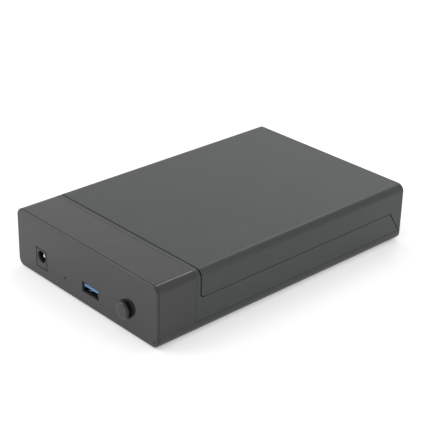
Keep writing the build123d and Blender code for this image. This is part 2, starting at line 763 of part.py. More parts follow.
def dc_jack_pin():
    """Centre pin with a rounded tip, a rear plate and a leg through the board."""
    pin_y = (dc_front + DC_PIN_SET_BACK, dc_plate_rear)
    pin = lengthwise(DC_ACROSS, dc_z, pin_y, DC_PIN_RADIUS)
    pin = fillet(pin.edges().sort_by(Axis.Y)[0], DC_PIN_RADIUS / 2)
    plate_y = (dc_plate_rear - DC_PLATE_THICKNESS, dc_plate_rear)
    plate_z = (leg_bottom, dc_z + DC_PIN_RADIUS)
    return pin + block(around(DC_ACROSS, DC_PLATE_WIDTH / 2), plate_y, plate_z)


def dc_jack_spring():
    """Bent leaf beside the bore that presses on the plug's sleeve, with its leg."""
    start = dc_front + DC_PIN_SET_BACK
    bend = start + DC_BORE_DEPTH / 3
    leaf_rear = dc_rear + DC_FIT + DC_LEAF_THICKNESS
    points = [
        (dc_wall, start),
        (dc_wall - DC_LEAF_BOW, bend),
        (dc_leaf_x, dc_front + DC_BORE_DEPTH),
        (dc_leaf_x, leaf_rear),
    ]
    z = around(dc_z, DC_LEAF_WIDTH / 2)
    leaf = extrude(strip(points, (DC_LEAF_THICKNESS, 0)), z[1] - z[0], dir=(0, 0, 1))
    leg_x = (dc_leaf_x, dc_leaf_x + DC_LEAF_THICKNESS)
    leg = block(leg_x, (leaf_rear - DC_LEAF_THICKNESS, leaf_rear), (leg_bottom, z[1]))
    return Pos(0, 0, z[0]) * leaf + leg


def usb_leg_places():
    """Where the four legs of the USB shell go through the board."""
    half = (USB_WIDTH - USB_SHEET) / 2
    sides = (USB_ACROSS - half, USB_ACROSS + half)
    return [(x, usb_front + depth) for x in sides for depth in USB_LEG_DEPTHS]


def usb_shell():
    """Folded sheet shell with spring tabs cut from its top and bottom, and four legs."""
    half_width = USB_WIDTH / 2
    half_height = USB_HEIGHT / 2
    depth = (usb_front, usb_rear)
    outer = block(around(USB_ACROSS, half_width), depth, around(usb_z, half_height))
    outer = fillet(outer.edges().filter_by(Axis.Y), USB_CORNER)
    inner_x = around(USB_ACROSS, half_width - USB_SHEET)
    inner = block(inner_x, whole_y, around(usb_z, half_height - USB_SHEET))
    shell = outer - fillet(inner.edges().filter_by(Axis.Y), USB_CORNER - USB_SHEET)
    shell -= block(inner_x, (usb_block_front, usb_rear), (board_top, usb_z))
    for x in around(USB_ACROSS, USB_TAB_OFFSET):
        for side in (-1, 1):
            shell = cut_usb_tab(shell, x, side)
    for x, y in usb_leg_places():
        leg = around(x, USB_SHEET / 2), around(y, USB_LEG_WIDTH / 2)
        shell += block(*leg, (leg_bottom, usb_z - half_height / 2))
    return shell


def cut_usb_tab(shell, x, side):
    """Cuts a window in the shell's top or bottom and bends a tab into it."""
    wall = usb_z + side * USB_HEIGHT / 2
    inside = wall - side * USB_SHEET
    start = usb_front + USB_TAB_START
    end = start + USB_TAB_LENGTH
    window_half = USB_TAB_WIDTH / 2 + 2 * USB_TAB_SHEET
    heights = sorted((wall + side * FUSE, inside - side * USB_TAB_BEND))
    shell -= block(around(x, window_half), (start, end), heights)
    points = [
        (start + USB_SHEET, inside),
        (start + USB_SHEET + PAST, inside - side * USB_TAB_BEND),
        (end + USB_SHEET, inside),
    ]
    tab = strip(points, (0, side * USB_TAB_SHEET))
    return shell + side_prism(tab, around(x, USB_TAB_WIDTH / 2))


def usb_insulator():
    """Moulded block at the rear of the socket with the tongue that carries the contacts."""
    half_width = USB_WIDTH / 2 - USB_SHEET - USB_FIT
    half_height = USB_HEIGHT / 2 - USB_SHEET - USB_FIT
    depth = (usb_block_front, usb_rear - USB_SHEET)
    rear_block = block(around(USB_ACROSS, half_width), depth, around(usb_z, half_height))
    rear_block = fillet(rear_block.edges().filter_by(Axis.Y), USB_CORNER - USB_SHEET)
    base_depth = (depth[0] + USB_FIT, depth[1])
    base = block(around(USB_ACROSS, half_width - USB_FIT), base_depth, (board_top, usb_z))
    tongue = block(
        around(USB_ACROSS, TONGUE_WIDTH / 2),
        (usb_front + TONGUE_SET_BACK, usb_block_front + FUSE),
        (tongue_low, tongue_low + TONGUE_THICKNESS),
    )
    tongue = chamfer(tongue.faces().sort_by(Axis.Y)[0].edges(), TONGUE_EDGE)
    return rear_block + base + tongue - usb_contacts()


def sprung_usb_contact(x):
    """Contact with a bowed spring under the tongue and a tail down to the board."""
    tip = usb_front + TONGUE_SET_BACK + 2 * PAST
    bow = tip + CONTACT_PAD_LENGTH
    root = bow + 3 * CONTACT_PAD_LENGTH
    tail = usb_rear - USB_SHEET - 2 * CONTACT_SHEET
    low = tongue_low - CONTACT_SHEET
    points = [
        (tip, low - CONTACT_SHEET),
        (bow, low - SPRUNG_CONTACT_BOW),
        (root, low),
        (tail, low),
    ]
    width = around(x, SPRUNG_CONTACT_WIDTH / 2)
    run = side_prism(strip(points, (0, CONTACT_SHEET)), width)
    return run + block(width, (tail - CONTACT_SHEET, tail), (board_top, tongue_low))


def flat_usb_contact(x):
    """Contact with a flat pad at the tongue's tip, carried through it to a tail at the back."""
    tip = usb_front + TONGUE_SET_BACK + 2 * CONTACT_SHEET
    rise = tip + CONTACT_PAD_LENGTH
    tail = usb_rear - USB_SHEET
    width = around(x, FLAT_CONTACT_WIDTH / 2)
    pad_z = around(tongue_low, CONTACT_SHEET / 2)
    run_z = (tongue_low + 2 * CONTACT_SHEET, tongue_low + 3 * CONTACT_SHEET)
    pad = block(width, (tip, rise), pad_z)
    step = block(width, (rise - CONTACT_SHEET, rise), (pad_z[0], run_z[1]))
    run = block(width, (rise - CONTACT_SHEET, tail), run_z)
    return pad + step + run + block(width, (tail - CONTACT_SHEET, tail), (board_top, run_z[1]))


def usb_contacts():
    """Four sprung contacts and five flat ones."""
    sprung = [sprung_usb_contact(USB_ACROSS + across) for across in SPRUNG_CONTACTS]
    flat = [flat_usb_contact(USB_ACROSS + across) for across in FLAT_CONTACTS]
    return group(sprung + flat)


def sata_pin_places():
    """X of each contact: the power group on the left and the signal group on the right."""
    span = SATA_PITCH * (SATA_SIGNAL_PINS + SATA_POWER_PINS - 2) + SATA_GROUP_SPACING
    power_start = SATA_OFFSET - span / 2
    signal_start = power_start + SATA_PITCH * (SATA_POWER_PINS - 1) + SATA_GROUP_SPACING
    power = [power_start + index * SATA_PITCH for index in range(SATA_POWER_PINS)]
    signal = [signal_start + index * SATA_PITCH for index in range(SATA_SIGNAL_PINS)]
    return power, signal


def sata_slot(pins):
    """L shaped slot that a card edge of the drive enters from the rear."""
    x = (pins[0] - SATA_SLOT_END, pins[-1] + SATA_SLOT_END)
    y = (sata_rear - SATA_SLOT_DEPTH, sata_rear + PAST)
    slot = block(x, y, (sata_slot_floor, sata_slot_floor + SATA_SLOT_HEIGHT))
    key_z = (sata_slot_floor - SATA_KEY_DROP, sata_slot_floor + FUSE)
    return slot + block((x[0], x[0] + SATA_KEY_WIDTH), y, key_z)


def sata_contacts():
    """Contacts along each slot's floor, bent down to tails on the board."""
    bend = sata_front + 3 * CONTACT_SHEET
    contacts = []
    for x in sum(sata_pin_places(), []):
        width = around(x, SATA_CONTACT_WIDTH / 2)
        run_z = (sata_slot_floor, sata_slot_floor + CONTACT_SHEET)
        run = block(width, (bend, sata_rear - 3 * CONTACT_SHEET), run_z)
        drop = block(width, (bend, bend + CONTACT_SHEET), (board_top, run_z[1]))
        tail_z = (board_top, board_top + CONTACT_SHEET)
        contacts.append(run + drop + block(width, (sata_front - SATA_TAIL, bend + CONTACT_SHEET), tail_z))
    return group(contacts)


def sata_housing():
    """Moulded drive connector with its two slots and end guides."""
    half = SATA_WIDTH / 2
    body = block(around(SATA_OFFSET, half), (sata_front, sata_rear), (board_top, sata_top))
    body = fillet(body.edges().filter_by(Axis.Y).sort_by(Axis.Z)[-2:], SATA_EDGE)
    for pins in sata_pin_places():
        body -= sata_slot(pins)
    guide_z = (board_top + SATA_GUIDE_WIDTH, sata_top - SATA_GUIDE_WIDTH)
    for x in around(SATA_OFFSET, half - SATA_GUIDE_WIDTH):
        guide_y = (sata_rear - SATA_GUIDE_DEPTH, sata_rear + PAST)
        body -= block(around(x, SATA_GUIDE_WIDTH / 2), guide_y, guide_z)
    return body - sata_contacts()


def on_button_axis(radius, y):
    """Round length on the button's axis."""
    return lengthwise(BUTTON_ACROSS, button_z, y, radius)


def square_on_button_axis(half, y):
    """Square length on the button's axis."""
    return block(around(BUTTON_ACROSS, half), y, around(button_z, half))


def power_button():
    """Round cap with a rounded front edge, a flange behind the port face and a socket."""
    sleeve_rear = stem_front + SOCKET_DEPTH
    button = on_button_axis(BUTTON_RADIUS, (front - BUTTON_PROUD, flange_front + FUSE))
    button = fillet(button.edges().sort_by(Axis.Y)[0], BUTTON_EDGE)
    flange_rear = flange_front + BUTTON_FLANGE_THICKNESS
    button += on_button_axis(BUTTON_RADIUS + BUTTON_FLANGE, (flange_front, flange_rear))
    button += on_button_axis(SLEEVE_RADIUS, (flange_front, sleeve_rear))
    socket = square_on_button_axis(STEM_WIDTH / 2 + STEM_FIT, (stem_front - STEM_FIT, sleeve_rear))
    return button - socket


def switch_plunger():
    """Square stem with the collar that is kept inside the switch."""
    stem = square_on_button_axis(STEM_WIDTH / 2, (stem_front, plunger_collar_front + FUSE))
    collar_y = (plunger_collar_front, plunger_collar_front + PLUNGER_COLLAR_LENGTH)
    return stem + square_on_button_axis(PLUNGER_COLLAR / 2, collar_y)


def switch_body():
    """Moulded switch body, hollow for the plunger's collar and the spring."""
    body = block(
        around(BUTTON_ACROSS, SWITCH_WIDTH / 2),
        (switch_front, switch_rear),
        (board_top, board_top + SWITCH_HEIGHT),
    )
    body = fillet(body.edges().filter_by(Axis.Z), SWITCH_EDGE)
    cavity_y = (switch_front + SWITCH_WALL, switch_rear - SWITCH_WALL)
    body -= square_on_button_axis(PLUNGER_COLLAR / 2 + PLUNGER_FIT, cavity_y)
    mouth_y = (switch_front - PAST, switch_front + SWITCH_WALL + FUSE)
    return body - square_on_button_axis(STEM_WIDTH / 2 + PLUNGER_FIT, mouth_y)


def switch_terminal_places():
    """Where the switch's six terminals go through the board."""
    sides = around(BUTTON_ACROSS, TERMINAL_SPACING / 2)
    first = switch_front + TERMINAL_START
    return [(x, first + row * TERMINAL_PITCH) for x in sides for row in range(3)]


def switch_terminals():
    """Six flat terminals below the switch."""
    half = TERMINAL_WIDTH / 2, TERMINAL_THICKNESS / 2
    reach = (leg_bottom, board_top)
    places = switch_terminal_places()
    return group([block(around(x, half[0]), around(y, half[1]), reach) for x, y in places])


def switch_spring():
    """Return spring between the plunger's collar and the back of the switch."""
    wire_radius = SPRING_WIRE / 2
    start = plunger_collar_front + PLUNGER_COLLAR_LENGTH + SPRING_WIRE
    end = switch_rear - SWITCH_WALL - SPRING_WIRE
    height = end - start
    path = Helix(height / SPRING_TURNS, height, SPRING_RADIUS)
    coil = sweep(Plane(origin=path @ 0, z_dir=path % 0) * Circle(wire_radius), path=path)
    return Pos(BUTTON_ACROSS, start, button_z) * Rot(-90, 0, 0) * coil


def light_pipe():
    """Clear pin in the small hole, with a wider root in front of the light."""
    nose_y = (front + LIGHT_PIPE_SET_BACK, front + WALL + FUSE)
    nose = lengthwise(LIGHT_ACROSS, light_z, nose_y, LIGHT_RADIUS - LIGHT_PIPE_FIT)
    root_y = (front + WALL, light_pipe_rear)
    return nose + lengthwise(LIGHT_ACROSS, light_z, root_y, LIGHT_RADIUS + LIGHT_PIPE_ROOT)


def status_led():
    """Side looking light on the board behind the light pipe."""
    lens_front = light_pipe_rear + LIGHT_PIPE_GAP
    base_front = lens_front + LED_LENS_LENGTH
    base_z = (board_top, light_z + LED_LENS_RADIUS + LIGHT_PIPE_GAP)
    base = block(around(LIGHT_ACROSS, LED_WIDTH / 2), (base_front, base_front + LED_DEPTH), base_z)
    lens = lengthwise(LIGHT_ACROSS, light_z, (lens_front, base_front + FUSE), LED_LENS_RADIUS)
    return base + fillet(lens.edges().sort_by(Axis.Y)[0], LED_LENS_LENGTH / 2)


def chip(spot, width, length):
    """Moulded chip body with a chamfered top and a round mark in one corner."""
    x, y = board_place(spot)
    body = part_on_board(spot, (width, length, CHIP_HEIGHT), CHIP_LIFT)
    body = chamfer(body.faces().sort_by(Axis.Z)[-1].edges(), CHIP_EDGE)
    mark_x = x - width / 2 + CHIP_MARK_INSET
    mark_y = y - length / 2 + CHIP_MARK_INSET
    chip_top = board_top + CHIP_LIFT + CHIP_HEIGHT
    return body - upright(mark_x, mark_y, (chip_top - CHIP_EDGE, top), CHIP_MARK_RADIUS)


def chip_leads(spot, half_width, count, pitch, turns):
    """Gull wing leads on the sides of a chip that turns, in quarter turns, name."""
    x, y = board_place(spot)
    shoulder = CHIP_LIFT + CHIP_HEIGHT / 2
    knee = LEAD_REACH / 2 - LEAD_SHEET
    lead_x = around(0, pitch * LEAD_SHARE_OF_PITCH / 2)
    lead = block(lead_x, (0, knee + LEAD_SHEET), (shoulder - LEAD_SHEET, shoulder))
    lead += block(lead_x, (knee, knee + LEAD_SHEET), (0, shoulder))
    lead += block(lead_x, (knee, LEAD_REACH), (0, LEAD_SHEET))
    leads = []
    for turn in turns:
        for index in range(count):
            along = (index - (count - 1) / 2) * pitch
            leads.append(Pos(x, y, board_top) * Rot(0, 0, 90 * turn) * Pos(along, half_width, 0) * lead)
    return group(leads)


def bridge_chip_leads():
    """Leads on all four sides of the controller."""
    return chip_leads(BRIDGE_SPOT, BRIDGE_WIDTH / 2, BRIDGE_LEADS, BRIDGE_PITCH, range(4))


def small_chip_leads(spot):
    """Leads on the two long sides of a small chip."""
    return chip_leads(spot, SMALL_CHIP_WIDTH / 2, SMALL_CHIP_LEADS, SMALL_CHIP_PITCH, (1, 3))


def power_inductor_core():
    """Drum shaped core of the inductor."""
    x, y = board_place(INDUCTOR_SPOT)
    height = INDUCTOR_HEIGHT - INDUCTOR_TERMINAL_HEIGHT
    body = part_on_board(INDUCTOR_SPOT, (INDUCTOR_WIDTH, INDUCTOR_WIDTH, height), INDUCTOR_TERMINAL_HEIGHT)
    body = fillet(body.edges().filter_by(Axis.Z), INDUCTOR_CORNER)
    ring_z = (board_top + INDUCTOR_HEIGHT - INDUCTOR_RING, top)
    outer = INDUCTOR_WIDTH / 2 - 2 * INDUCTOR_RING
    ring = upright(x, y, ring_z, outer) - upright(x, y, ring_z, outer - INDUCTOR_RING)
    return body - ring


def power_inductor_terminals():
    """Flat terminals under the inductor's two ends."""
    size = (INDUCTOR_TERMINAL_LENGTH, INDUCTOR_TERMINAL_WIDTH, INDUCTOR_TERMINAL_HEIGHT)
    across, depth = INDUCTOR_SPOT
    ends = around(across, INDUCTOR_WIDTH / 2)
    return group([part_on_board((end, depth), size) for end in ends])


def capacitor_cans():
    """Aluminium cans with a rolled groove above the base and scored tops."""
    low = board_top + CAN_BASE_HEIGHT
    high = low + CAN_HEIGHT
    groove_z = around(low + CAN_GROOVE_HEIGHT, CAN_GROOVE)
    cans = []
    for x, y in map(board_place, CAPACITOR_SPOTS):
        can = fillet(upright(x, y, (low, high), CAN_RADIUS).edges().sort_by(Axis.Z)[-1], CAN_EDGE)
        groove = upright(x, y, groove_z, CAN_RADIUS + PAST)
        groove -= upright(x, y, groove_z, CAN_RADIUS - CAN_GROOVE)
        score_y = around(y, CAN_GROOVE / 2)
        score = block(around(x, CAN_SCORE_LENGTH / 2), score_y, (high - CAN_GROOVE / 2, top))
        cans.append(can - groove - score)
    return group(cans)


def capacitor_bases():
    """Square moulded bases of the capacitors, with two cut corners."""
    width = 2 * CAN_RADIUS + CAN_EDGE
    bases = []
    for spot in CAPACITOR_SPOTS:
        base = part_on_board(spot, (width, width, CAN_BASE_HEIGHT))
        corners = base.edges().filter_by(Axis.Z).sort_by(Axis.X)[:2]
        bases.append(chamfer(corners, CAN_BASE_CORNER))
    return group(bases)


def schottky_diode():
    """Rectifier in a flat moulded body."""
    body = part_on_board(DIODE_SPOT, DIODE_SIZE)
    return chamfer(body.faces().sort_by(Axis.Z)[-1].edges(), CHIP_EDGE)


def crystal():
    """Quartz crystal in a low metal can on a wider base."""
    can = part_on_board(CRYSTAL_SPOT, CRYSTAL_CAN, CRYSTAL_BASE[2])
    can = fillet(can.edges().filter_by(Axis.Z), CRYSTAL_BASE[2])
    return can + part_on_board(CRYSTAL_SPOT, CRYSTAL_BASE)


def chip_parts(spots, size):
    """Small two ended parts, with end caps that stand a little proud of the middle."""
    length, width, height = size
    middle_size = (width - 2 * END_CAP_PROUD, length, height - END_CAP_PROUD)
    parts = []
    for across, depth in spots:
        part = part_on_board((across, depth), middle_size)
        for end in around(depth, (length - END_CAP) / 2):
            part += part_on_board((across, end), (width, END_CAP, height))
        parts.append(part)
    return group(parts)


def nodes():
    """Every piece by its node name."""
    pieces = {
        "bottom_pan": bottom_pan(),
        "side_frame": side_frame(),
        "front_cap": front_cap(),
        "sliding_lid": sliding_lid(),
        "lid_foam_front": lid_foam(drive_front + FOAM_FROM_END),
        "lid_foam_rear": lid_foam(drive_rear - FOAM_FROM_END - FOAM_STRIP),
        "rear_foam": rear_foam(),
        "case_screws": case_screws(),
        "board_screws": board_screws(),
        "controller_board": controller_board(),
        "dc_jack_body": dc_jack_body(),
        "dc_jack_pin": dc_jack_pin(),
        "dc_jack_spring": dc_jack_spring(),
        "usb_shell": usb_shell(),
        "usb_insulator": usb_insulator(),
        "usb_contacts": usb_contacts(),
        "sata_housing": sata_housing(),
        "sata_contacts": sata_contacts(),
        "power_button": power_button(),
        "switch_plunger": switch_plunger(),
        "switch_body": switch_body(),
        "switch_terminals": switch_terminals(),
        "switch_spring": switch_spring(),
        "light_pipe": light_pipe(),
        "status_led": status_led(),
        "bridge_chip": chip(BRIDGE_SPOT, BRIDGE_WIDTH, BRIDGE_WIDTH),
        "bridge_chip_leads": bridge_chip_leads(),
        "flash_chip": chip(FLASH_SPOT, SMALL_CHIP_WIDTH, SMALL_CHIP_LENGTH),
        "flash_chip_leads": small_chip_leads(FLASH_SPOT),
        "regulator_chip": chip(REGULATOR_SPOT, SMALL_CHIP_WIDTH, SMALL_CHIP_LENGTH),
        "regulator_leads": small_chip_leads(REGULATOR_SPOT),
        "power_inductor_core": power_inductor_core(),
        "power_inductor_terminals": power_inductor_terminals(),
        "capacitor_cans": capacitor_cans(),
        "capacitor_bases": capacitor_bases(),
        "schottky_diode": schottky_diode(),
        "crystal": crystal(),
        "ceramic_capacitors": chip_parts(CERAMIC_SPOTS, CERAMIC_SIZE),
        "chip_resistors": chip_parts(RESISTOR_SPOTS, RESISTOR_SIZE),
    }
    for name, spot in foot_spots.items():
        pieces[f"foot_{name}"] = foot(spot)
    return pieces


os.makedirs("parts", exist_ok=True)
for node, shape in nodes().items():
    export_step(shape, f"parts/{node}.step")
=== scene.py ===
"""A desktop enclosure for one 3.5 inch hard drive: its finishes, foam strips, solder and studio."""
import math

import bmesh
import bpy
from bpy.props import FloatProperty, FloatVectorProperty, PointerProperty
from bpy.types import Operator, Panel, PropertyGroup
from mathutils import Matrix, Vector, noise


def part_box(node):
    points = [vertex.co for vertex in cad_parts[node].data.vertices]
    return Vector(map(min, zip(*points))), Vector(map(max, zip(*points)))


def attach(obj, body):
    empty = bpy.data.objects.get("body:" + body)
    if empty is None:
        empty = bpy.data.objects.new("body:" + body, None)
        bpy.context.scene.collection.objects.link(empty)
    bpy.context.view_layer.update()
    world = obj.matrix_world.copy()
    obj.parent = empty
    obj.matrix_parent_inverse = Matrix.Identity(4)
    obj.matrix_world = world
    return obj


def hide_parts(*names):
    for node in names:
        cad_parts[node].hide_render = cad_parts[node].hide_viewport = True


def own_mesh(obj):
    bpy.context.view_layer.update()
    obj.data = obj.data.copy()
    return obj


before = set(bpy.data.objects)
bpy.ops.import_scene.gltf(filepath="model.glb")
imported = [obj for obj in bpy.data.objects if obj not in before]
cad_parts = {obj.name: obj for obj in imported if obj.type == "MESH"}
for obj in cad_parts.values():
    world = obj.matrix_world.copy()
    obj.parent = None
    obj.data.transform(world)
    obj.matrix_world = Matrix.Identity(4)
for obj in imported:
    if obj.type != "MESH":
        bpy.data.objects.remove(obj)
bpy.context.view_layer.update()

bl_info = {
    "name": "Drive Enclosure",
    "version": (1, 0, 0),
    "blender": (4, 5, 0),
    "location": "3D View > Sidebar > Enclosure",
    "description": "Finishes a desktop hard drive enclosure and sets up its studio",
    "category": "Object",
}

MM = 0.001

# Places read from the packed model
CAP_LOW, CAP_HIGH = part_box("front_cap")
PAN_LOW, PAN_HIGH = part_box("bottom_pan")
LID_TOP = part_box("sliding_lid")[1].z
BOARD_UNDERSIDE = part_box("controller_board")[0].z
PORT_FACE = CAP_LOW.y
CASING_MIDDLE = Vector(
    ((CAP_LOW.x + CAP_HIGH.x) / 2, (CAP_LOW.y + PAN_HIGH.y) / 2, CAP_HIGH.z / 2)
)

# Marks on the end cap, both painted shade: a dark line along the mould's parting line, where the
# front fillet ends, and a dark spot for the hollow of the dimple
PARTING_LINE = PORT_FACE + 1.05 * MM
PARTING_LINE_HALF_WIDTH = 0.2 * MM
DIMPLE = (CAP_HIGH.x - 2.5 * MM, PORT_FACE, PAN_LOW.z + 3.5 * MM)
DIMPLE_DARK_RADIUS, DIMPLE_EDGE_RADIUS = 0.8 * MM, 1.1 * MM

# Rings of the ejector pins, on the inner faces of the pan and the lid
INNER_FLOOR = PAN_LOW.z + 2.0 * MM
INNER_TOP = LID_TOP - 2.0 * MM
INNER_FACE_MARGIN = 0.2 * MM
EJECTOR_SPACING = 34 * MM
EJECTOR_RADIUS = 3.2 * MM
EJECTOR_LINE = 0.22 * MM
EJECTOR_HEIGHT = 3.0  # in depths of the grain

# Where a finger rubs the button, round the middle of its face
FINGER_RADIUS, FINGER_REACH = 1.2 * MM, 3.0 * MM

# Rim of the DC socket, painted dark as shade, as distances inside the sides of its body
JACK_RIM_OUTER, JACK_RIM_INNER = 0.3 * MM, 0.5 * MM

# The two lower springs of the USB shell, painted bright as glints: from its middle, below its top
# and behind its mouth
SHELL_SPRING_ACROSS = 3.4 * MM
SHELL_SPRING_HALF_WIDTH = 1.15 * MM
SHELL_SPRING_TOP = 3.6 * MM
SHELL_SPRING_START = 1.8 * MM

# Copper and glass of the board: lengths of trace, and the share of them that is missing
TRACE_PITCH = 1.27 * MM
TRACE_LENGTH_IN_X, TRACE_LENGTH_IN_Y = 8 * MM, 6 * MM
TRACE_GAPS = 0.52
WEAVE_PITCH = 0.5 * MM

# Legs that come out under the board: the least that they stand out, and how far a leg reaches
LEG_MARGIN = 0.2 * MM
LEG_REACH = 1.2 * MM

# Solder joint: its tip as a share of its foot, how hollow its side is, and its uneven outline
SOLDER_RINGS = 6
SOLDER_SEGMENTS = 20
SOLDER_TIP = 0.34
SOLDER_HOLLOW = 2.2
SOLDER_WOBBLE = 0.04
SOLDER_LOBES = 3
SOLDER_TURN_PER_METRE = 900

# Foam skin: spacings of its pits, how near its corners the sides curve, and its crowned edge
FOAM_PIT = 0.9 * MM
FOAM_PIT_DRIFT = 1.3 * MM
FOAM_CORNER_POWER = 12
FOAM_EDGE_IN_CROWNS = 2.2

# Cells per metre of the patterns made of cells
SPECKS_PER_METRE = 420.0
FOAM_CELLS_PER_METRE = 1900.0

DUST = (0.30, 0.29, 0.27)
WHITE = (1, 1, 1, 1)
SENSOR_WIDTH = 36.0  # millimetres

# Place in metres and side in metres of each softbox
SOFTBOXES = {
    "key": ((-0.90, -0.98, 0.72), 0.9),
    "rear": ((-0.45, 0.99, 1.19), 0.45),
    "fill": ((1.35, 0.38, 0.52), 0.6),
}


class CasingLook(PropertyGroup):
    """Colours and finish of the moulded casing."""

    colour: FloatVectorProperty(
        name="Casing colour", description="Plastic of the lid, frame and pan",
        subtype="COLOR", min=0, max=1, default=(0.0195, 0.0225, 0.0225),
    )
    cap_colour: FloatVectorProperty(
        name="End cap colour", description="Plastic of the end cap and the button",
        subtype="COLOR", min=0, max=1, default=(0.0215, 0.0222, 0.0222),
    )
    satin_roughness: FloatProperty(
        name="Satin roughness", description="Roughness of the textured surfaces",
        subtype="FACTOR", min=0, max=1, default=0.34,
    )
    polished_roughness: FloatProperty(
        name="Polished roughness", description="Roughness of the polished end cap",
        subtype="FACTOR", min=0, max=1, default=0.11,
    )
    grain_size: FloatProperty(
        name="Grain size", description="Spacing of the eroded texture of the mould",
        unit="LENGTH", min=0.00005, max=0.002, default=0.00042,
    )
    grain_depth: FloatProperty(
        name="Grain depth", description="Depth of the eroded texture of the mould",
        unit="LENGTH", min=0, max=0.0005, default=0.000016,
    )


class SocketLook(PropertyGroup):
    """Colours of the sockets and their metal."""

    tongue: FloatVectorProperty(
        name="Tongue colour", description="Blue plastic tongue of the USB socket",
        subtype="COLOR", min=0, max=1, default=(0.085, 0.245, 0.50),
    )
    nickel: FloatVectorProperty(
        name="Nickel colour", description="Plating of the shell, the pin and the leaf",
        subtype="COLOR", min=0, max=1, default=(0.60, 0.59, 0.56),
    )
    gold: FloatVectorProperty(
        name="Gold colour", description="Plating of the contacts",
        subtype="COLOR", min=0, max=1, default=(0.83, 0.60, 0.24),
    )
    housing: FloatVectorProperty(
        name="Socket body colour", description="Moulded bodies of the sockets and the switch",
        subtype="COLOR", min=0, max=1, default=(0.016, 0.016, 0.017),
    )


class BoardLook(PropertyGroup):
    """Colours of the circuit board, and its solder joints."""

    mask: FloatVectorProperty(
        name="Solder mask colour", description="Lacquer over the bare board",
        subtype="COLOR", min=0, max=1, default=(0.010, 0.085, 0.036),
    )
    trace: FloatVectorProperty(
        name="Trace colour", description="Lacquer over a copper trace",
        subtype="COLOR", min=0, max=1, default=(0.028, 0.165, 0.062),
    )
    solder: FloatVectorProperty(
        name="Solder colour", description="Solder and tinned terminals",
        subtype="COLOR", min=0, max=1, default=(0.66, 0.66, 0.65),
    )
    joint_radius: FloatProperty(
        name="Solder joint radius", description="Radius of a joint where it meets the board",
        unit="LENGTH", min=0.0005, max=0.002, default=0.00115,
    )
    joint_height: FloatProperty(
        name="Solder joint height", description="How far the solder climbs up a leg",
        unit="LENGTH", min=0.0001, max=0.001, default=0.0007,
    )


class FoamLook(PropertyGroup):
    """Shape and colour of the foam strips."""

    colour: FloatVectorProperty(
        name="Foam colour", description="Cell walls of the foam",
        subtype="COLOR", min=0, max=1, default=(0.075, 0.076, 0.080),
    )
    tape: FloatVectorProperty(
        name="Tape colour", description="Adhesive tape on the foam's fixed side",
        subtype="COLOR", min=0, max=1, default=(0.62, 0.60, 0.54),
    )
    tape_thickness: FloatProperty(
        name="Tape thickness", description="Thickness of the adhesive tape",
        unit="LENGTH", min=0.00005, max=0.0005, default=0.00018,
    )
    crown: FloatProperty(
        name="Crown", description="How much lower the strip's edges are than its middle",
        unit="LENGTH", min=0, max=0.001, default=0.0004,
    )
    waist: FloatProperty(
        name="Waist", description="How far the cut sides pull in between their edges",
        unit="LENGTH", min=0, max=0.001, default=0.00028,
    )
    pore: FloatProperty(
        name="Pore depth", description="Depth of the open cells in the foam's skin",
        unit="LENGTH", min=0, max=0.0003, default=0.00009,
    )
    step: FloatProperty(
        name="Mesh step", description="Spacing of the points of the foam's mesh",
        unit="LENGTH", min=0.0002, max=0.002, default=0.00055,
    )


class Studio(PropertyGroup):
    """Camera, floor and light."""

    azimuth: FloatProperty(
        name="Azimuth", description="Angle of the camera round the enclosure from its port face",
        subtype="ANGLE", default=math.radians(46.85),
    )
    elevation: FloatProperty(
        name="Elevation", description="Angle of the camera above the floor",
        subtype="ANGLE", default=math.radians(26.10),
    )
    roll: FloatProperty(
        name="Roll", description="Tilt of the camera about its own axis",
        subtype="ANGLE", default=math.radians(1.305),
    )
    distance: FloatProperty(
        name="Distance", description="From the camera to the point that it looks at",
        unit="LENGTH", min=0.1, default=0.6866,
    )
    lens: FloatProperty(
        name="Lens", description="Focal length in millimetres on a sensor 36 mm wide",
        min=20, default=104.84,
    )
    aim: FloatVectorProperty(
        name="Aim", description="The point that the camera looks at",
        subtype="TRANSLATION", unit="LENGTH", default=(-0.01329, 0.01048, 0.01760),
    )
    floor_colour: FloatVectorProperty(
        name="Floor colour", description="Pale floor",
        subtype="COLOR", min=0, max=1, default=(0.95, 0.95, 0.95),
    )
    floor_glow: FloatProperty(
        name="Floor glow", description="White added to the floor as the camera and mirrors see it",
        subtype="FACTOR", min=0, max=1, default=0.36,
    )
    floor_radius: FloatProperty(
        name="Floor radius", description="Radius of the round floor",
        unit="LENGTH", min=0.5, default=3.0,
    )
    sky: FloatProperty(
        name="Sky strength", description="White light from all round",
        subtype="FACTOR", min=0, max=1, default=0.72,
    )
    key: FloatProperty(
        name="Key power", description="Watts of the softbox at the front left",
        min=0, default=4.6,
    )
    rear: FloatProperty(
        name="Rear power", description="Watts of the softbox high at the rear left",
        min=0, default=1.9,
    )
    fill: FloatProperty(
        name="Fill power", description="Watts of the softbox at the right",
        min=0, default=1.3,
    )


def lighter(colour, factor):
    """A colour made lighter or darker by a factor."""
    return tuple(min(c * factor, 1.0) for c in colour)


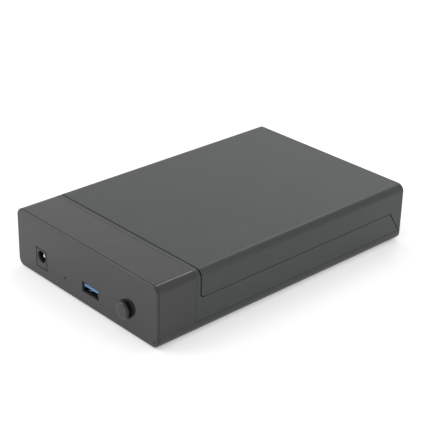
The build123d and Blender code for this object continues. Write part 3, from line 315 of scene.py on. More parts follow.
class Wiring:
    """Makes shader nodes in a tree. Their patterns follow the place on the piece."""

    def __init__(self, tree):
        self.tree = tree
        self.place = None

    def feed(self, socket, value):
        """Gives an input another node's output, or a constant."""
        if isinstance(value, bpy.types.NodeSocket):
            self.tree.links.new(value, socket)
        else:
            socket.default_value = value

    def add(self, kind, inputs=(), **settings):
        """New node. Its inputs are (name or index, value or socket) pairs."""
        node = self.tree.nodes.new("ShaderNode" + kind)
        for name, value in settings.items():
            setattr(node, name, value)
        for key, value in dict(inputs).items():
            self.feed(node.inputs[key], value)
        return node

    def maths(self, operation, *values, clamp=False):
        """Result of a Math node."""
        node = self.add("Math", enumerate(values), operation=operation, use_clamp=clamp)
        return node.outputs["Value"]

    def inverse(self, mask):
        """1 where a mask is 0, and 0 where it is 1."""
        return self.maths("SUBTRACT", 1.0, mask)

    def overlap(self, mask, *others):
        """1 where all the masks are 1."""
        for other in others:
            mask = self.maths("MULTIPLY", mask, other)
        return mask

    def ramp(self, value, start, end):
        """0 at the start, 1 at the end, smooth between them and level beyond them."""
        inputs = {"Value": value, "From Min": start, "From Max": end}
        return self.add("MapRange", inputs, interpolation_type="SMOOTHSTEP").outputs["Result"]

    def between(self, factor, low, high):
        """A number that goes from low to high as factor goes from 0 to 1."""
        inputs = {"Value": factor, "To Min": low, "To Max": high}
        return self.add("MapRange", inputs).outputs["Result"]

    def mix(self, factor, under, over):
        """Colour that goes from under to over as factor goes from 0 to 1."""
        node = self.add("Mix", data_type="RGBA")
        sockets = {socket.identifier: socket for socket in (*node.inputs, *node.outputs)}
        self.feed(sockets["Factor_Float"], factor)
        self.feed(sockets["A_Color"], under)
        self.feed(sockets["B_Color"], over)
        return sockets["Result_Color"]

    def noise(self, spacing, place=None, detail=2.0, roughness=0.5, distortion=0.0):
        """Cloudy pattern whose blotches are about spacing apart."""
        inputs = {
            "Vector": place or self.place, "Scale": 1.0 / spacing, "Detail": detail,
            "Roughness": roughness, "Distortion": distortion,
        }
        return self.add("TexNoise", inputs).outputs["Fac"]

    def patches(self, spacing, start, end, **settings):
        """Mask of soft patches, from a cloudy pattern."""
        return self.ramp(self.noise(spacing, **settings), start, end)

    def streaks(self, spacing, turn, squeeze, **settings):
        """Cloudy pattern that is turned, and squeezed along each axis."""
        inputs = {"Vector": self.place, "Rotation": turn, "Scale": squeeze}
        return self.noise(spacing, self.add("Mapping", inputs).outputs["Vector"], **settings)

    def cells(self, per_metre):
        """Outputs of a cell pattern."""
        return self.add("TexVoronoi", {"Vector": self.place, "Scale": per_metre}).outputs

    def along(self, axis):
        """One coordinate of the place."""
        return self.add("SeparateXYZ", {"Vector": self.place}).outputs[axis]

    def facing(self, axis):
        """One coordinate of the surface's direction."""
        normal = self.add("NewGeometry").outputs["Normal"]
        return self.add("SeparateXYZ", {"Vector": normal}).outputs[axis]

    def distance(self, point):
        """How far the place is from a point."""
        node = self.add("VectorMath", {0: self.place, 1: point}, operation="DISTANCE")
        return node.outputs["Value"]

    def off_middle(self, axis, low, high):
        """How far the place is from the middle between two coordinates."""
        return self.maths("ABSOLUTE", self.maths("SUBTRACT", self.along(axis), (low + high) / 2))

    def seen_directly(self):
        """1 for rays from the camera, from mirrors and through glass, 0 for the light itself."""
        path = self.add("LightPath").outputs
        seen = self.maths("MAXIMUM", path["Is Camera Ray"], path["Is Glossy Ray"])
        return self.maths("MAXIMUM", seen, path["Is Transmission Ray"])


class Effect(Wiring):
    """A shared effect in the making: a shader node group with named inputs and outputs."""

    VECTORS = ("Place", "Normal")

    def __init__(self, name, inputs, *outputs):
        super().__init__(bpy.data.node_groups.new(name, "ShaderNodeTree"))
        for label, default in inputs.items():
            socket = self.new_socket(label, "INPUT")
            if default is not None:
                socket.default_value = default
        for label in outputs:
            self.new_socket(label, "OUTPUT")
        self.given = self.tree.nodes.new("NodeGroupInput").outputs
        self.made = self.tree.nodes.new("NodeGroupOutput").inputs
        if "Place" in inputs:
            self.place = self.given["Place"]

    def new_socket(self, label, side):
        """Adds a named input or output to the group."""
        kind = "NodeSocketVector" if label in self.VECTORS else "NodeSocketFloat"
        return self.tree.interface.new_socket(name=label, in_out=side, socket_type=kind)

    def count_in(self, label):
        """Makes the place count in one of the given lengths."""
        inputs = {0: self.place, "Scale": self.maths("DIVIDE", 1.0, self.given[label])}
        self.place = self.add("VectorMath", inputs, operation="SCALE").outputs["Vector"]

    def put_out(self, label, value):
        """Feeds an output of the group."""
        self.feed(self.made[label], value)


def moulded_grain_effect():
    """Fine eroded texture that a spark cut mould leaves on plastic."""
    effect = Effect("Moulded grain", {"Place": None, "Size": 0.4 * MM}, "Height", "Glint")
    effect.count_in("Size")
    fine = effect.noise(1.0, detail=3.0, roughness=0.65)
    inputs = {"Vector": effect.place, "Scale": 0.9, "Smoothness": 0.6}
    pits = effect.add("TexVoronoi", inputs, feature="SMOOTH_F1").outputs["Distance"]
    height = effect.maths(
        "ADD", effect.maths("MULTIPLY", fine, 0.6), effect.maths("MULTIPLY", pits, 0.4)
    )
    effect.put_out("Height", height)
    effect.put_out("Glint", effect.ramp(fine, 0.35, 0.7))


def edge_wear_effect():
    """Where handling has rubbed the edges, broken up along them."""
    effect = Effect("Edge wear", {"Place": None, "Width": 0.4 * MM, "Amount": 0.5}, "Mask")
    rounded = effect.add("Bevel", {"Radius": effect.given["Width"]}, samples=4).outputs["Normal"]
    own = effect.add("NewGeometry").outputs["Normal"]
    alike = effect.add("VectorMath", {0: rounded, 1: own}, operation="DOT_PRODUCT")
    edge = effect.ramp(effect.inverse(alike.outputs["Value"]), 0.01, 0.22)
    patches = effect.patches(6 * MM, 0.38, 0.66, detail=4.0)
    worn = effect.overlap(edge, effect.maths("MULTIPLY_ADD", patches, 0.75, 0.25))
    effect.put_out("Mask", effect.maths("MULTIPLY", worn, effect.given["Amount"], clamp=True))


def settled_dust_effect():
    """Faint film and single specks of dust on faces that look up."""
    effect = Effect("Settled dust", {"Place": None, "Amount": 0.3}, "Mask")
    facing_up = effect.ramp(effect.facing("Z"), 0.3, 0.95)
    film = effect.patches(22 * MM, 0.42, 0.78, detail=5.0, roughness=0.6)
    cells = effect.cells(SPECKS_PER_METRE)
    close = effect.inverse(effect.ramp(cells["Distance"], 0.05, 0.11))
    chance = effect.add("SeparateColor", {"Color": cells["Color"]}).outputs["Red"]
    specks = effect.overlap(close, effect.maths("GREATER_THAN", chance, 0.86), facing_up)
    dusty = effect.overlap(effect.maths("MULTIPLY_ADD", film, 0.45, specks), facing_up)
    effect.put_out("Mask", effect.maths("MULTIPLY", dusty, effect.given["Amount"], clamp=True))


def smudges_effect():
    """Soft blotches that hands and wiping leave in the gloss."""
    effect = Effect("Smudges", {"Place": None, "Size": 20 * MM}, "Mask")
    effect.count_in("Size")
    broad = effect.patches(1.0, 0.40, 0.72, detail=3.0, distortion=1.2)
    wiped = effect.streaks(1.0, (0, 0, 0.6), (1.0, 5.0, 5.0))
    mask = effect.overlap(broad, effect.between(wiped, 0.45, 1.25))
    effect.put_out("Mask", effect.maths("MAXIMUM", mask, 0.0, clamp=True))


def hairlines_effect():
    """Fine straight scratches in two directions."""
    effect = Effect("Hairlines", {"Place": None, "Spacing": 1.2 * MM}, "Mask")
    effect.count_in("Spacing")
    lines = []
    for turn, squeeze in ((0.5, (1.0, 0.045, 0.3)), (-0.9, (0.05, 1.3, 0.3))):
        streak = effect.streaks(1.0, (0, 0, turn), squeeze, detail=1.0)
        lines.append(effect.ramp(streak, 0.70, 0.76))
    effect.put_out("Mask", effect.maths("MAXIMUM", *lines))


def rolled_metal_effect():
    """Drawing lines and soft waves of thin rolled sheet."""
    effect = Effect("Rolled metal", {"Place": None, "Spacing": 0.12 * MM}, "Height", "Shade")
    effect.count_in("Spacing")
    lines = effect.streaks(1.0, (0, 0, 0), (1.0, 0.04, 1.0))
    waves = effect.noise(14.0)
    height = effect.maths("MULTIPLY_ADD", lines, 0.7, effect.maths("MULTIPLY", waves, 0.3))
    effect.put_out("Height", height)
    effect.put_out("Shade", effect.ramp(waves, 0.3, 0.7))


def softened_edges_effect():
    """Normals that round sharp edges a little, so that they catch the light."""
    effect = Effect("Softened edges", {"Radius": 0.15 * MM}, "Normal")
    rounded = effect.add("Bevel", {"Radius": effect.given["Radius"]}, samples=6)
    effect.put_out("Normal", rounded.outputs["Normal"])


EFFECTS = (
    moulded_grain_effect, edge_wear_effect, settled_dust_effect, smudges_effect, hairlines_effect,
    rolled_metal_effect, softened_edges_effect,
)


class Recipe(Wiring):
    """A material in the making, with the colour and the roughness that it has so far."""

    def __init__(self, name, colour, roughness, **constants):
        self.material = bpy.data.materials.new(name)
        self.material.use_nodes = True
        self.colour = self.material.diffuse_color = (*colour, 1.0)
        self.roughness = roughness
        super().__init__(self.material.node_tree)
        self.shader = self.tree.nodes["Principled BSDF"]
        self.give("Base Color", self.colour)
        self.give("Roughness", roughness)
        for label, value in constants.items():
            self.give(label.replace("_", " "), value)
        self.place = self.add("TexCoord").outputs["Object"]

    def give(self, label, value):
        """Gives an input of the shader another node's output, or a constant."""
        self.feed(self.shader.inputs[label], value)

    def effect(self, name, **values):
        """Places a shared effect in the material and gives its outputs."""
        node = self.add("Group", node_tree=bpy.data.node_groups[name])
        if "Place" in node.inputs:
            self.feed(node.inputs["Place"], self.place)
        for label, value in values.items():
            self.feed(node.inputs[label.capitalize()], value)
        return node.outputs

    def paint(self, mask, colour):
        """Lays a colour over what is there, by a mask."""
        self.colour = self.mix(mask, self.colour, (*colour, 1.0))
        self.give("Base Color", self.colour)

    def gloss(self, mask, roughness):
        """Moves the roughness towards a value, by a mask."""
        change = self.maths("SUBTRACT", roughness, self.roughness)
        self.roughness = self.maths("MULTIPLY_ADD", mask, change, self.roughness)
        self.give("Roughness", self.roughness)

    def cover(self, mask, colour, roughness):
        """Lays a colour and a roughness over what is there, by a mask."""
        self.paint(mask, colour)
        self.gloss(mask, roughness)

    def bump(self, height, depth, soften=0.0):
        """Raises the surface by a height pattern, over edges softened to a radius."""
        inputs = {"Height": height, "Distance": depth, "Strength": 1.0}
        if soften:
            inputs["Normal"] = self.effect("Softened edges", radius=soften)["Normal"]
        self.give("Normal", self.add("Bump", inputs).outputs["Normal"])

    def grain(self, size, roughness, depth, soften=0.1 * MM):
        """Moulded grain: its glints move the roughness, and its height the surface."""
        grain = self.effect("Moulded grain", size=size)
        self.gloss(grain["Glint"], roughness)
        self.bump(grain["Height"], depth, soften)

    def wear(self, width, amount, colour):
        """Paints the edges that handling has rubbed."""
        self.paint(self.effect("Edge wear", width=width, amount=amount)["Mask"], colour)

    def dust(self, amount, colour=DUST):
        """Lays a little dust on the faces that look up."""
        self.paint(self.effect("Settled dust", amount=amount)["Mask"], colour)


def satin_plastic(name, colour, look, ejector_face=None):
    """Black moulded plastic with a fine eroded grain. The mould's pins show inside."""
    roughness = look.satin_roughness
    recipe = Recipe(name, colour, roughness, IOR=1.5)
    grain = recipe.effect("Moulded grain", size=look.grain_size)
    drift = recipe.patches(45 * MM, 0.3, 0.7, detail=3.0)
    recipe.cover(drift, lighter(colour, 1.14), roughness + 0.03)
    recipe.gloss(grain["Glint"], roughness + 0.05)
    recipe.gloss(recipe.effect("Smudges", size=26 * MM)["Mask"], roughness + 0.045)
    rubbed = recipe.effect("Edge wear", width=0.5 * MM, amount=0.5)["Mask"]
    recipe.cover(rubbed, lighter(colour, 2.4), roughness - 0.12)
    recipe.dust(0.05)
    height = grain["Height"]
    if ejector_face:
        marks = ejector_marks(recipe, *ejector_face)
        height = recipe.maths("MULTIPLY_ADD", marks, EJECTOR_HEIGHT, height)
    recipe.bump(height, look.grain_depth, soften=0.12 * MM)
    return recipe


def ejector_marks(recipe, face, facing):
    """Rings of the ejector pins on an inner face at a height, facing 1 for up or -1 for down."""
    squares = []
    for axis in "XY":
        cell = recipe.maths("FRACT", recipe.maths("DIVIDE", recipe.along(axis), EJECTOR_SPACING))
        offset = recipe.maths("MULTIPLY", recipe.maths("SUBTRACT", cell, 0.5), EJECTOR_SPACING)
        squares.append(recipe.maths("MULTIPLY", offset, offset))
    reach = recipe.maths("SQRT", recipe.maths("ADD", *squares))
    from_line = recipe.maths("ABSOLUTE", recipe.maths("SUBTRACT", reach, EJECTOR_RADIUS))
    ring = recipe.inverse(recipe.ramp(from_line, EJECTOR_LINE / 2, EJECTOR_LINE))
    test = "GREATER_THAN" if facing > 0 else "LESS_THAN"
    side = recipe.maths(test, recipe.facing("Z"), 0.9 * facing)
    height = recipe.along("Z")
    above = recipe.maths("GREATER_THAN", height, face - INNER_FACE_MARGIN)
    below = recipe.maths("LESS_THAN", height, face + INNER_FACE_MARGIN)
    return recipe.overlap(ring, side, recipe.overlap(above, below))


def polished_plastic(look):
    """End cap: polished black, with wiping marks and hairlines, and with painted shade along its
    parting line and in its dimple.
    """
    colour, roughness = look.cap_colour, look.polished_roughness
    recipe = Recipe("polished cap plastic", colour, roughness, IOR=1.5)
    recipe.gloss(recipe.effect("Smudges", size=18 * MM)["Mask"], roughness + 0.05)
    recipe.gloss(recipe.effect("Hairlines", spacing=1.6 * MM)["Mask"], roughness + 0.05)
    recipe.wear(0.4 * MM, 0.1, lighter(colour, 1.8))
    # Painted shade: the parting line is painted dark, as the shade at the edge of the front fillet.
    parting = recipe.maths("COMPARE", recipe.along("Y"), PARTING_LINE, PARTING_LINE_HALF_WIDTH)
    recipe.cover(parting, lighter(colour, 0.15), 0.6)
    recipe.dust(0.05)
    # Painted shade: a dark spot stands for the shade in the dimple's hollow.
    around = recipe.ramp(recipe.distance(DIMPLE), DIMPLE_DARK_RADIUS, DIMPLE_EDGE_RADIUS)
    recipe.paint(recipe.inverse(around), lighter(colour, 0.2))
    grain = recipe.effect("Moulded grain", size=0.7 * MM)["Height"]
    height = recipe.maths("MULTIPLY_ADD", grain, 0.05, recipe.noise(11 * MM))
    recipe.bump(height, 0.03 * MM, soften=0.1 * MM)
    return recipe


def button_plastic(look):
    """Push button: satin face, more polished where fingers press it, and polished sides painted
    dark as shade and dark reflection.
    """
    roughness = look.satin_roughness
    recipe = Recipe("button plastic", look.cap_colour, roughness - 0.06, IOR=1.5)
    recipe.grain(0.3 * MM, roughness, 0.01 * MM)
    low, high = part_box("power_button")
    pressed_at = ((low.x + high.x) / 2, low.y, (low.z + high.z) / 2)
    around = recipe.ramp(recipe.distance(pressed_at), FINGER_RADIUS, FINGER_REACH)
    recipe.gloss(recipe.inverse(around), roughness - 0.12)
    # Painted shade and painted reflection: the sides and the rounded edge of the face are painted
    # dark.
    sides = recipe.ramp(recipe.facing("Y"), -0.98, -0.6)
    recipe.cover(sides, lighter(look.cap_colour, 0.2), 0.12)
    return recipe


def filled_plastic(name, colour, roughness=0.42):
    """Plastic with short glass fibres, as sockets and switches are made of."""
    recipe = Recipe(name, colour, roughness, IOR=1.52)
    fibres = recipe.streaks(0.22 * MM, (0.3, 0.2, 0.5), (1.0, 0.22, 1.0), detail=3.0)
    recipe.cover(recipe.ramp(fibres, 0.52, 0.72), lighter(colour, 1.5), roughness + 0.12)
    recipe.gloss(recipe.patches(4 * MM, 0.35, 0.65, detail=3.0), roughness - 0.06)
    recipe.wear(0.25 * MM, 0.4, lighter(colour, 2.2))
    recipe.bump(fibres, 0.01 * MM, soften=0.12 * MM)
    return recipe


def jack_plastic(look):
    """Moulded plastic of the DC socket, painted dark along its rim as the shade in the gap round
    it.
    """
    recipe = filled_plastic("jack plastic", look.housing, 0.36)
    low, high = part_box("dc_jack_body")
    rims = []
    for axis, start, end in (("X", low.x, high.x), ("Z", low.z, high.z)):
        offset = recipe.off_middle(axis, start, end)
        rims.append(recipe.maths("SUBTRACT", offset, (end - start) / 2))
    rim = recipe.ramp(recipe.maths("MAXIMUM", *rims), -JACK_RIM_INNER, -JACK_RIM_OUTER)
    # Painted shade: the rim is darkened as the shade that falls in the gap round the socket.
    recipe.cover(rim, lighter(look.housing, 0.12), 0.7)
    return recipe


def tongue_plastic(look):
    """Blue tongue of the USB socket, paler at its moulded edges and shaded on top."""
    recipe = Recipe("tongue plastic", look.tongue, 0.34, IOR=1.52)
    recipe.paint(recipe.patches(1.6 * MM, 0.35, 0.7, detail=4.0), lighter(look.tongue, 1.25))
    recipe.paint(recipe.ramp(recipe.facing("Z"), 0.3, 0.7), lighter(look.tongue, 0.3))
    recipe.wear(0.2 * MM, 0.4, lighter(look.tongue, 1.5))
    recipe.grain(0.16 * MM, 0.42, 0.006 * MM)
    return recipe


def plated_metal(name, colour, roughness, spacing=0.12 * MM, tarnish=0.8):
    """Plated sheet metal with drawing lines, a soft tarnish and bright edges."""
    recipe = Recipe(name, colour, roughness, Metallic=1.0)
    rolled = recipe.effect("Rolled metal", spacing=spacing)
    recipe.cover(rolled["Shade"], lighter(colour, tarnish), roughness + 0.08)
    spots = recipe.patches(1.2 * MM, 0.58, 0.75, detail=5.0, roughness=0.7)
    recipe.cover(spots, lighter(colour, tarnish * 0.8), roughness + 0.2)
    recipe.wear(0.2 * MM, 0.6, lighter(colour, 1.25))
    recipe.bump(rolled["Height"], 0.004 * MM, soften=0.06 * MM)
    return recipe


def shell_metal(look):
    """Nickel of the USB shell, darkened as painted shade and black at its mouth, and bright on its
    two lower springs, where plugs rub them, as painted glints.
    """
    # Painted shade: the nickel is darkened all over, as the shade inside the socket.
    recipe = plated_metal("shell nickel", lighter(look.nickel, 0.34), 0.3, 0.2 * MM, 0.85)
    low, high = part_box("usb_shell")
    across = recipe.off_middle("X", low.x, high.x)
    spring = recipe.maths("COMPARE", across, SHELL_SPRING_ACROSS, SHELL_SPRING_HALF_WIDTH)
    lower = recipe.maths("LESS_THAN", recipe.along("Z"), high.z - SHELL_SPRING_TOP)
    inside = recipe.maths("GREATER_THAN", recipe.along("Y"), low.y + SHELL_SPRING_START)
    # Painted glints: the lower springs, where plugs rub them, are painted bright.
    recipe.cover(recipe.overlap(spring, lower, inside), (0.90, 0.89, 0.86), 0.45)
    # Painted shade: the faces of the mouth are painted near black.
    mouth = recipe.maths("LESS_THAN", recipe.facing("Y"), -0.8)
    recipe.paint(mouth, (0.05, 0.05, 0.05))
    return recipe


def solder_metal(look):
    """Dull grained surface of set solder."""
    recipe = Recipe("set solder", look.solder, 0.28, Metallic=1.0)
    crust = recipe.noise(0.35 * MM, detail=4.0, roughness=0.7)
    recipe.paint(recipe.ramp(crust, 0.45, 0.75), lighter(look.solder, 0.62))
    recipe.gloss(recipe.ramp(crust, 0.35, 0.7), 0.5)
    recipe.bump(crust, 0.02 * MM)
    return recipe


def oxide_steel(name, colour, roughness, bright):
    """Screw steel under an oxide or zinc film that is rubbed bright at its edges."""
    recipe = Recipe(name, colour, roughness, Metallic=1.0)
    film = recipe.patches(0.9 * MM, 0.4, 0.7, detail=4.0)
    recipe.cover(film, lighter(colour, 1.4), roughness + 0.12)
    recipe.wear(0.3 * MM, 0.9, bright)
    turned = recipe.effect("Rolled metal", spacing=0.09 * MM)["Height"]
    recipe.bump(turned, 0.006 * MM, soften=0.08 * MM)
    return recipe


def board_lacquer(look):
    """Green board: traces, filled ground areas and glass weave, with bare glass at its edges."""
    recipe = Recipe("board lacquer", look.mask, 0.28, IOR=1.5)
    traces = recipe.maths(
        "MAXIMUM",
        trace_runs(recipe, "X", "Y", TRACE_LENGTH_IN_Y, 0.0),
        trace_runs(recipe, "Y", "X", TRACE_LENGTH_IN_X, 1.0),
    )
    ground = recipe.maths("GREATER_THAN", recipe.noise(11 * MM, detail=0.0), 0.54)
    copper = recipe.maths("MAXIMUM", traces, ground)
    recipe.paint(copper, look.trace)
    edge = recipe.maths("LESS_THAN", recipe.maths("ABSOLUTE", recipe.facing("Z")), 0.5)
    recipe.cover(edge, (0.36, 0.30, 0.14), 0.7)
    recipe.gloss(copper, 0.22)
    recipe.dust(0.08, (0.32, 0.31, 0.28))
    threads = []
    for axis in "XY":
        angle = recipe.maths("MULTIPLY", recipe.along(axis), 2 * math.pi / WEAVE_PITCH)
        threads.append(recipe.maths("SINE", angle))
    height = recipe.maths("MULTIPLY_ADD", recipe.maths("MULTIPLY", *threads), 0.12, copper)
    recipe.bump(height, 0.03 * MM, soften=0.1 * MM)
    return recipe


def trace_runs(recipe, across, along, length, seed):
    """Mask of traces side by side across one axis, some lengths of which are missing."""
    lane = recipe.maths("DIVIDE", recipe.along(across), TRACE_PITCH)
    off = recipe.maths("ABSOLUTE", recipe.maths("SUBTRACT", recipe.maths("FRACT", lane), 0.5))
    strip = recipe.inverse(recipe.ramp(off, 0.13, 0.17))
    stretch = recipe.maths("FLOOR", recipe.maths("DIVIDE", recipe.along(along), length))
    numbers = {"X": recipe.maths("FLOOR", lane), "Y": stretch, "Z": seed}
    draw = recipe.add("TexWhiteNoise", {"Vector": recipe.add("CombineXYZ", numbers).outputs[0]})
    return recipe.overlap(strip, recipe.maths("GREATER_THAN", draw.outputs["Value"], TRACE_GAPS))


def chip_resin(name, colour):
    """Moulded chip resin: matte and finely pitted, with paler edges."""
    recipe = Recipe(name, colour, 0.55, IOR=1.55)
    recipe.paint(recipe.patches(2.5 * MM, 0.35, 0.7, detail=3.0), lighter(colour, 1.3))
    recipe.wear(0.2 * MM, 0.5, lighter(colour, 2.5))
    recipe.grain(0.12 * MM, 0.68, 0.012 * MM, soften=0.08 * MM)
    return recipe


def ferrite_compound():
    """Pressed iron powder of the inductor."""
    recipe = Recipe("pressed ferrite", (0.040, 0.041, 0.043), 0.6, IOR=1.6)
    powder = recipe.noise(0.14 * MM, detail=3.0, roughness=0.7)
    recipe.paint(recipe.ramp(powder, 0.55, 0.72), (0.13, 0.13, 0.13))
    recipe.gloss(recipe.ramp(powder, 0.5, 0.7), 0.4)
    recipe.bump(powder, 0.02 * MM, soften=0.2 * MM)
    return recipe


def can_metal():
    """Aluminium can with drawing lines and a faint oxide."""
    recipe = Recipe("can aluminium", (0.76, 0.77, 0.78), 0.24, Metallic=1.0)
    rolled = recipe.effect("Rolled metal", spacing=0.1 * MM)
    recipe.gloss(rolled["Shade"], 0.36)
    recipe.paint(recipe.patches(2 * MM, 0.45, 0.75, detail=4.0), (0.55, 0.56, 0.58))
    recipe.bump(rolled["Height"], 0.005 * MM, soften=0.08 * MM)
    return recipe


def ceramic_body(name, colour):
    """Fired ceramic of the small capacitors and resistors."""
    recipe = Recipe(name, colour, 0.45, IOR=1.6)
    cloud = recipe.noise(0.5 * MM, detail=4.0)
    recipe.cover(recipe.ramp(cloud, 0.4, 0.7), lighter(colour, 0.78), 0.6)
    recipe.bump(cloud, 0.01 * MM)
    return recipe


def clear_plastic():
    """Clear light guide, a little frosted, so that it glows evenly."""
    recipe = Recipe("clear plastic", (0.93, 0.95, 0.96), 0.12, IOR=1.49, Transmission_Weight=1.0)
    frost = recipe.noise(0.3 * MM, detail=3.0)
    recipe.gloss(recipe.ramp(frost, 0.4, 0.7), 0.3)
    recipe.bump(frost, 0.01 * MM)
    return recipe


def led_resin():
    """White lamp body with a yellowish phosphor behind its lens."""
    recipe = Recipe("lamp resin", (0.82, 0.82, 0.80), 0.35, IOR=1.5)
    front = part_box("status_led")[0].y
    lens = recipe.maths("LESS_THAN", recipe.along("Y"), front + 0.5 * MM)
    recipe.cover(lens, (0.85, 0.74, 0.26), 0.12)
    cloud = recipe.noise(0.4 * MM, detail=3.0)
    recipe.paint(recipe.ramp(cloud, 0.6, 0.8), (0.70, 0.69, 0.64))
    recipe.bump(cloud, 0.01 * MM, soften=0.08 * MM)
    return recipe


def foam_cells(look):
    """Dark foam with painted shade in the middles of its open cells."""
    recipe = Recipe(
        "foam cells", look.colour, 0.92, IOR=1.45, Sheen_Weight=0.25, Sheen_Roughness=0.5
    )
    cells = recipe.cells(FOAM_CELLS_PER_METRE)["Distance"]
    # Painted shade: the middles of the cells are darkened.
    recipe.paint(recipe.ramp(cells, 0.55, 0.2), lighter(look.colour, 0.35))
    recipe.paint(recipe.patches(6 * MM, 0.45, 0.75, detail=4.0), lighter(look.colour, 1.35))
    recipe.gloss(recipe.ramp(cells, 0.2, 0.6), 0.8)
    recipe.bump(cells, 0.22 * MM)
    return recipe


def paper_tape(look):
    """Adhesive tape between the foam and the lid."""
    recipe = Recipe("paper tape", look.tape, 0.7, IOR=1.45)
    fibres = recipe.streaks(1.1 * MM, (0, 0, 0.2), (1.0, 3.0, 3.0), detail=5.0)
    recipe.cover(recipe.ramp(fibres, 0.4, 0.7), lighter(look.tape, 0.8), 0.85)
    recipe.bump(fibres, 0.02 * MM)
    return recipe


def foot_rubber():
    """Dull rubber with a moulded grain, dusty where it meets the table."""
    recipe = Recipe("foot rubber", (0.022, 0.022, 0.023), 0.74, IOR=1.48)
    bloom = recipe.patches(3 * MM, 0.4, 0.75, detail=4.0)
    recipe.paint(bloom, (0.050, 0.050, 0.050))
    underside = recipe.ramp(recipe.facing("Z"), -0.6, -0.95)
    lint = recipe.overlap(underside, recipe.maths("MULTIPLY", bloom, 0.35))
    recipe.paint(lint, (0.22, 0.21, 0.19))
    recipe.grain(0.5 * MM, 0.86, 0.03 * MM, soften=0.2 * MM)
    return recipe


def stem_plastic():
    """Pale slippery plastic of the switch's stem."""
    colour = (0.66, 0.65, 0.61)
    recipe = Recipe("stem plastic", colour, 0.4, IOR=1.48, Subsurface_Weight=0.1)
    recipe.paint(recipe.patches(2 * MM, 0.35, 0.7, detail=3.0), lighter(colour, 0.88))
    recipe.grain(0.2 * MM, 0.5, 0.01 * MM)
    return recipe


def finish(recipe, *names):
    """Gives CAD nodes a material."""
    for name in names:
        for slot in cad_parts[name].material_slots:
            slot.material = recipe.material


def new_piece(name, mesh, recipes, body):
    """Object for a mesh, riding on a body."""
    for recipe in recipes:
        mesh.materials.append(recipe.material)
    piece = bpy.data.objects.new(name, mesh)
    bpy.context.scene.collection.objects.link(piece)
    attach(piece, body)
    return piece


def return_spring():
    """Coil spring of the switch, copied from its CAD node and riding on the housing."""
    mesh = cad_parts["switch_spring"].data.copy()
    mesh.name = "return_spring"
    mesh.materials.clear()
    wire = plated_metal("spring steel", (0.46, 0.45, 0.44), 0.26, 0.08 * MM, 0.75)
    piece = new_piece("return_spring", mesh, [wire], "housing")
    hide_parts("switch_spring")
    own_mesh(piece)


def axis_steps(low, high, step):
    """Even positions from low to high, no further apart than step."""
    count = max(1, math.ceil((high - low) / step))
    return [low + (high - low) * index / count for index in range(count + 1)]


def foam_mesh(name, low, high, away, look):
    """Foam strip in the box from low to high, fixed on the side opposite to the axis away.

    Its free face is crowned and pitted with open cells, and its cut sides draw in.
    """
    up = max(range(3), key=lambda i: abs(away[i]))
    across = [i for i in range(3) if i != up]
    fixed, free = (low[up], high[up]) if away[up] > 0 else (high[up], low[up])
    outwards = math.copysign(1.0, free - fixed)
    thickness = abs(free - fixed)
    columns, rows = (axis_steps(low[i], high[i], look.step) for i in across)
    tape_top = look.tape_thickness / thickness
    levels = [0.0, tape_top, 0.25, 0.5, 0.75, 1.0]
    last_column, last_row, last_level = len(columns) - 1, len(rows) - 1, len(levels) - 1
    half = [(high[i] - low[i]) / 2 for i in across]
    middle = [(high[i] + low[i]) / 2 for i in across]
    mesh = bmesh.new()
    made = {}

    def corner_point(i, j, k):
        if (i, j, k) in made:
            return made[i, j, k]
        on_top = k == last_level
        place = [columns[i], rows[j]]
        edge = min(half[n] - abs(place[n] - middle[n]) for n in range(2))
        soft = max(0.0, 1.0 - edge / (FOAM_EDGE_IN_CROWNS * look.crown + look.step))
        drop = look.crown * soft * soft if on_top else 0.0
        if levels[k] > tape_top:
            pull = look.waist * math.sin(math.pi * levels[k]) + 0.5 * look.crown * on_top
            for n in range(2):
                reach = (place[n] - middle[n]) / half[n]
                place[n] -= pull * abs(reach) ** FOAM_CORNER_POWER * math.copysign(1.0, reach)
        point = [0.0, 0.0, 0.0]
        point[across[0]], point[across[1]] = place
        point[up] = fixed + outwards * (thickness * levels[k] - drop)
        if on_top:
            drift = noise.noise(Vector(point) / FOAM_PIT_DRIFT)
            pit = noise.cell(Vector(point) / FOAM_PIT) * 0.5 + 0.5 * drift
            point[up] -= outwards * look.pore * min(1.0, max(0.0, pit))
        made[i, j, k] = mesh.verts.new(point)
        return made[i, j, k]

    def add_face(*keys, tape=False):
        face = mesh.faces.new([corner_point(*key) for key in keys])
        face.material_index = 1 if tape else 0
        face.smooth = not tape

    def add_wall(start, end, k):
        add_face((*start, k), (*end, k), (*end, k + 1), (*start, k + 1), tape=k == 0)

    for i in range(last_column):
        for j in range(last_row):
            corners = ((i, j), (i + 1, j), (i + 1, j + 1), (i, j + 1))
            add_face(*((*corner, last_level) for corner in corners))
            add_face(*((*corner, 0) for corner in reversed(corners)), tape=True)
    for k in range(last_level):
        for i in range(last_column):
            add_wall((i, 0), (i + 1, 0), k)
            add_wall((i + 1, last_row), (i, last_row), k)
        for j in range(last_row):
            add_wall((0, j + 1), (0, j), k)
            add_wall((last_column, j), (last_column, j + 1), k)
    bmesh.ops.recalc_face_normals(mesh, faces=mesh.faces)
    return mesh_from(mesh, name)


def mesh_from(built, name):
    """Mesh data from a bmesh, which is freed."""
    mesh = bpy.data.meshes.new(name)
    built.to_mesh(mesh)
    built.free()
    return mesh


def leg_places(name):
    """Middles of the legs that a CAD node puts through the board."""
    built = bmesh.new()
    built.from_mesh(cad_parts[name].data)
    bmesh.ops.remove_doubles(built, verts=built.verts, dist=0.001 * MM)
    points = [vert.co.copy() for vert in built.verts]
    built.free()
    below = [point for point in points if point.z < BOARD_UNDERSIDE - LEG_MARGIN]
    legs = []
    for point in sorted(below, key=lambda p: (round(p.x, 4), round(p.y, 4))):
        for leg in legs:
            if (Vector(leg[0].xy) - Vector(point.xy)).length < LEG_REACH:
                leg.append(point)
                break
        else:
            legs.append([point])
    return [sum(leg, Vector()) / len(leg) for leg in legs]


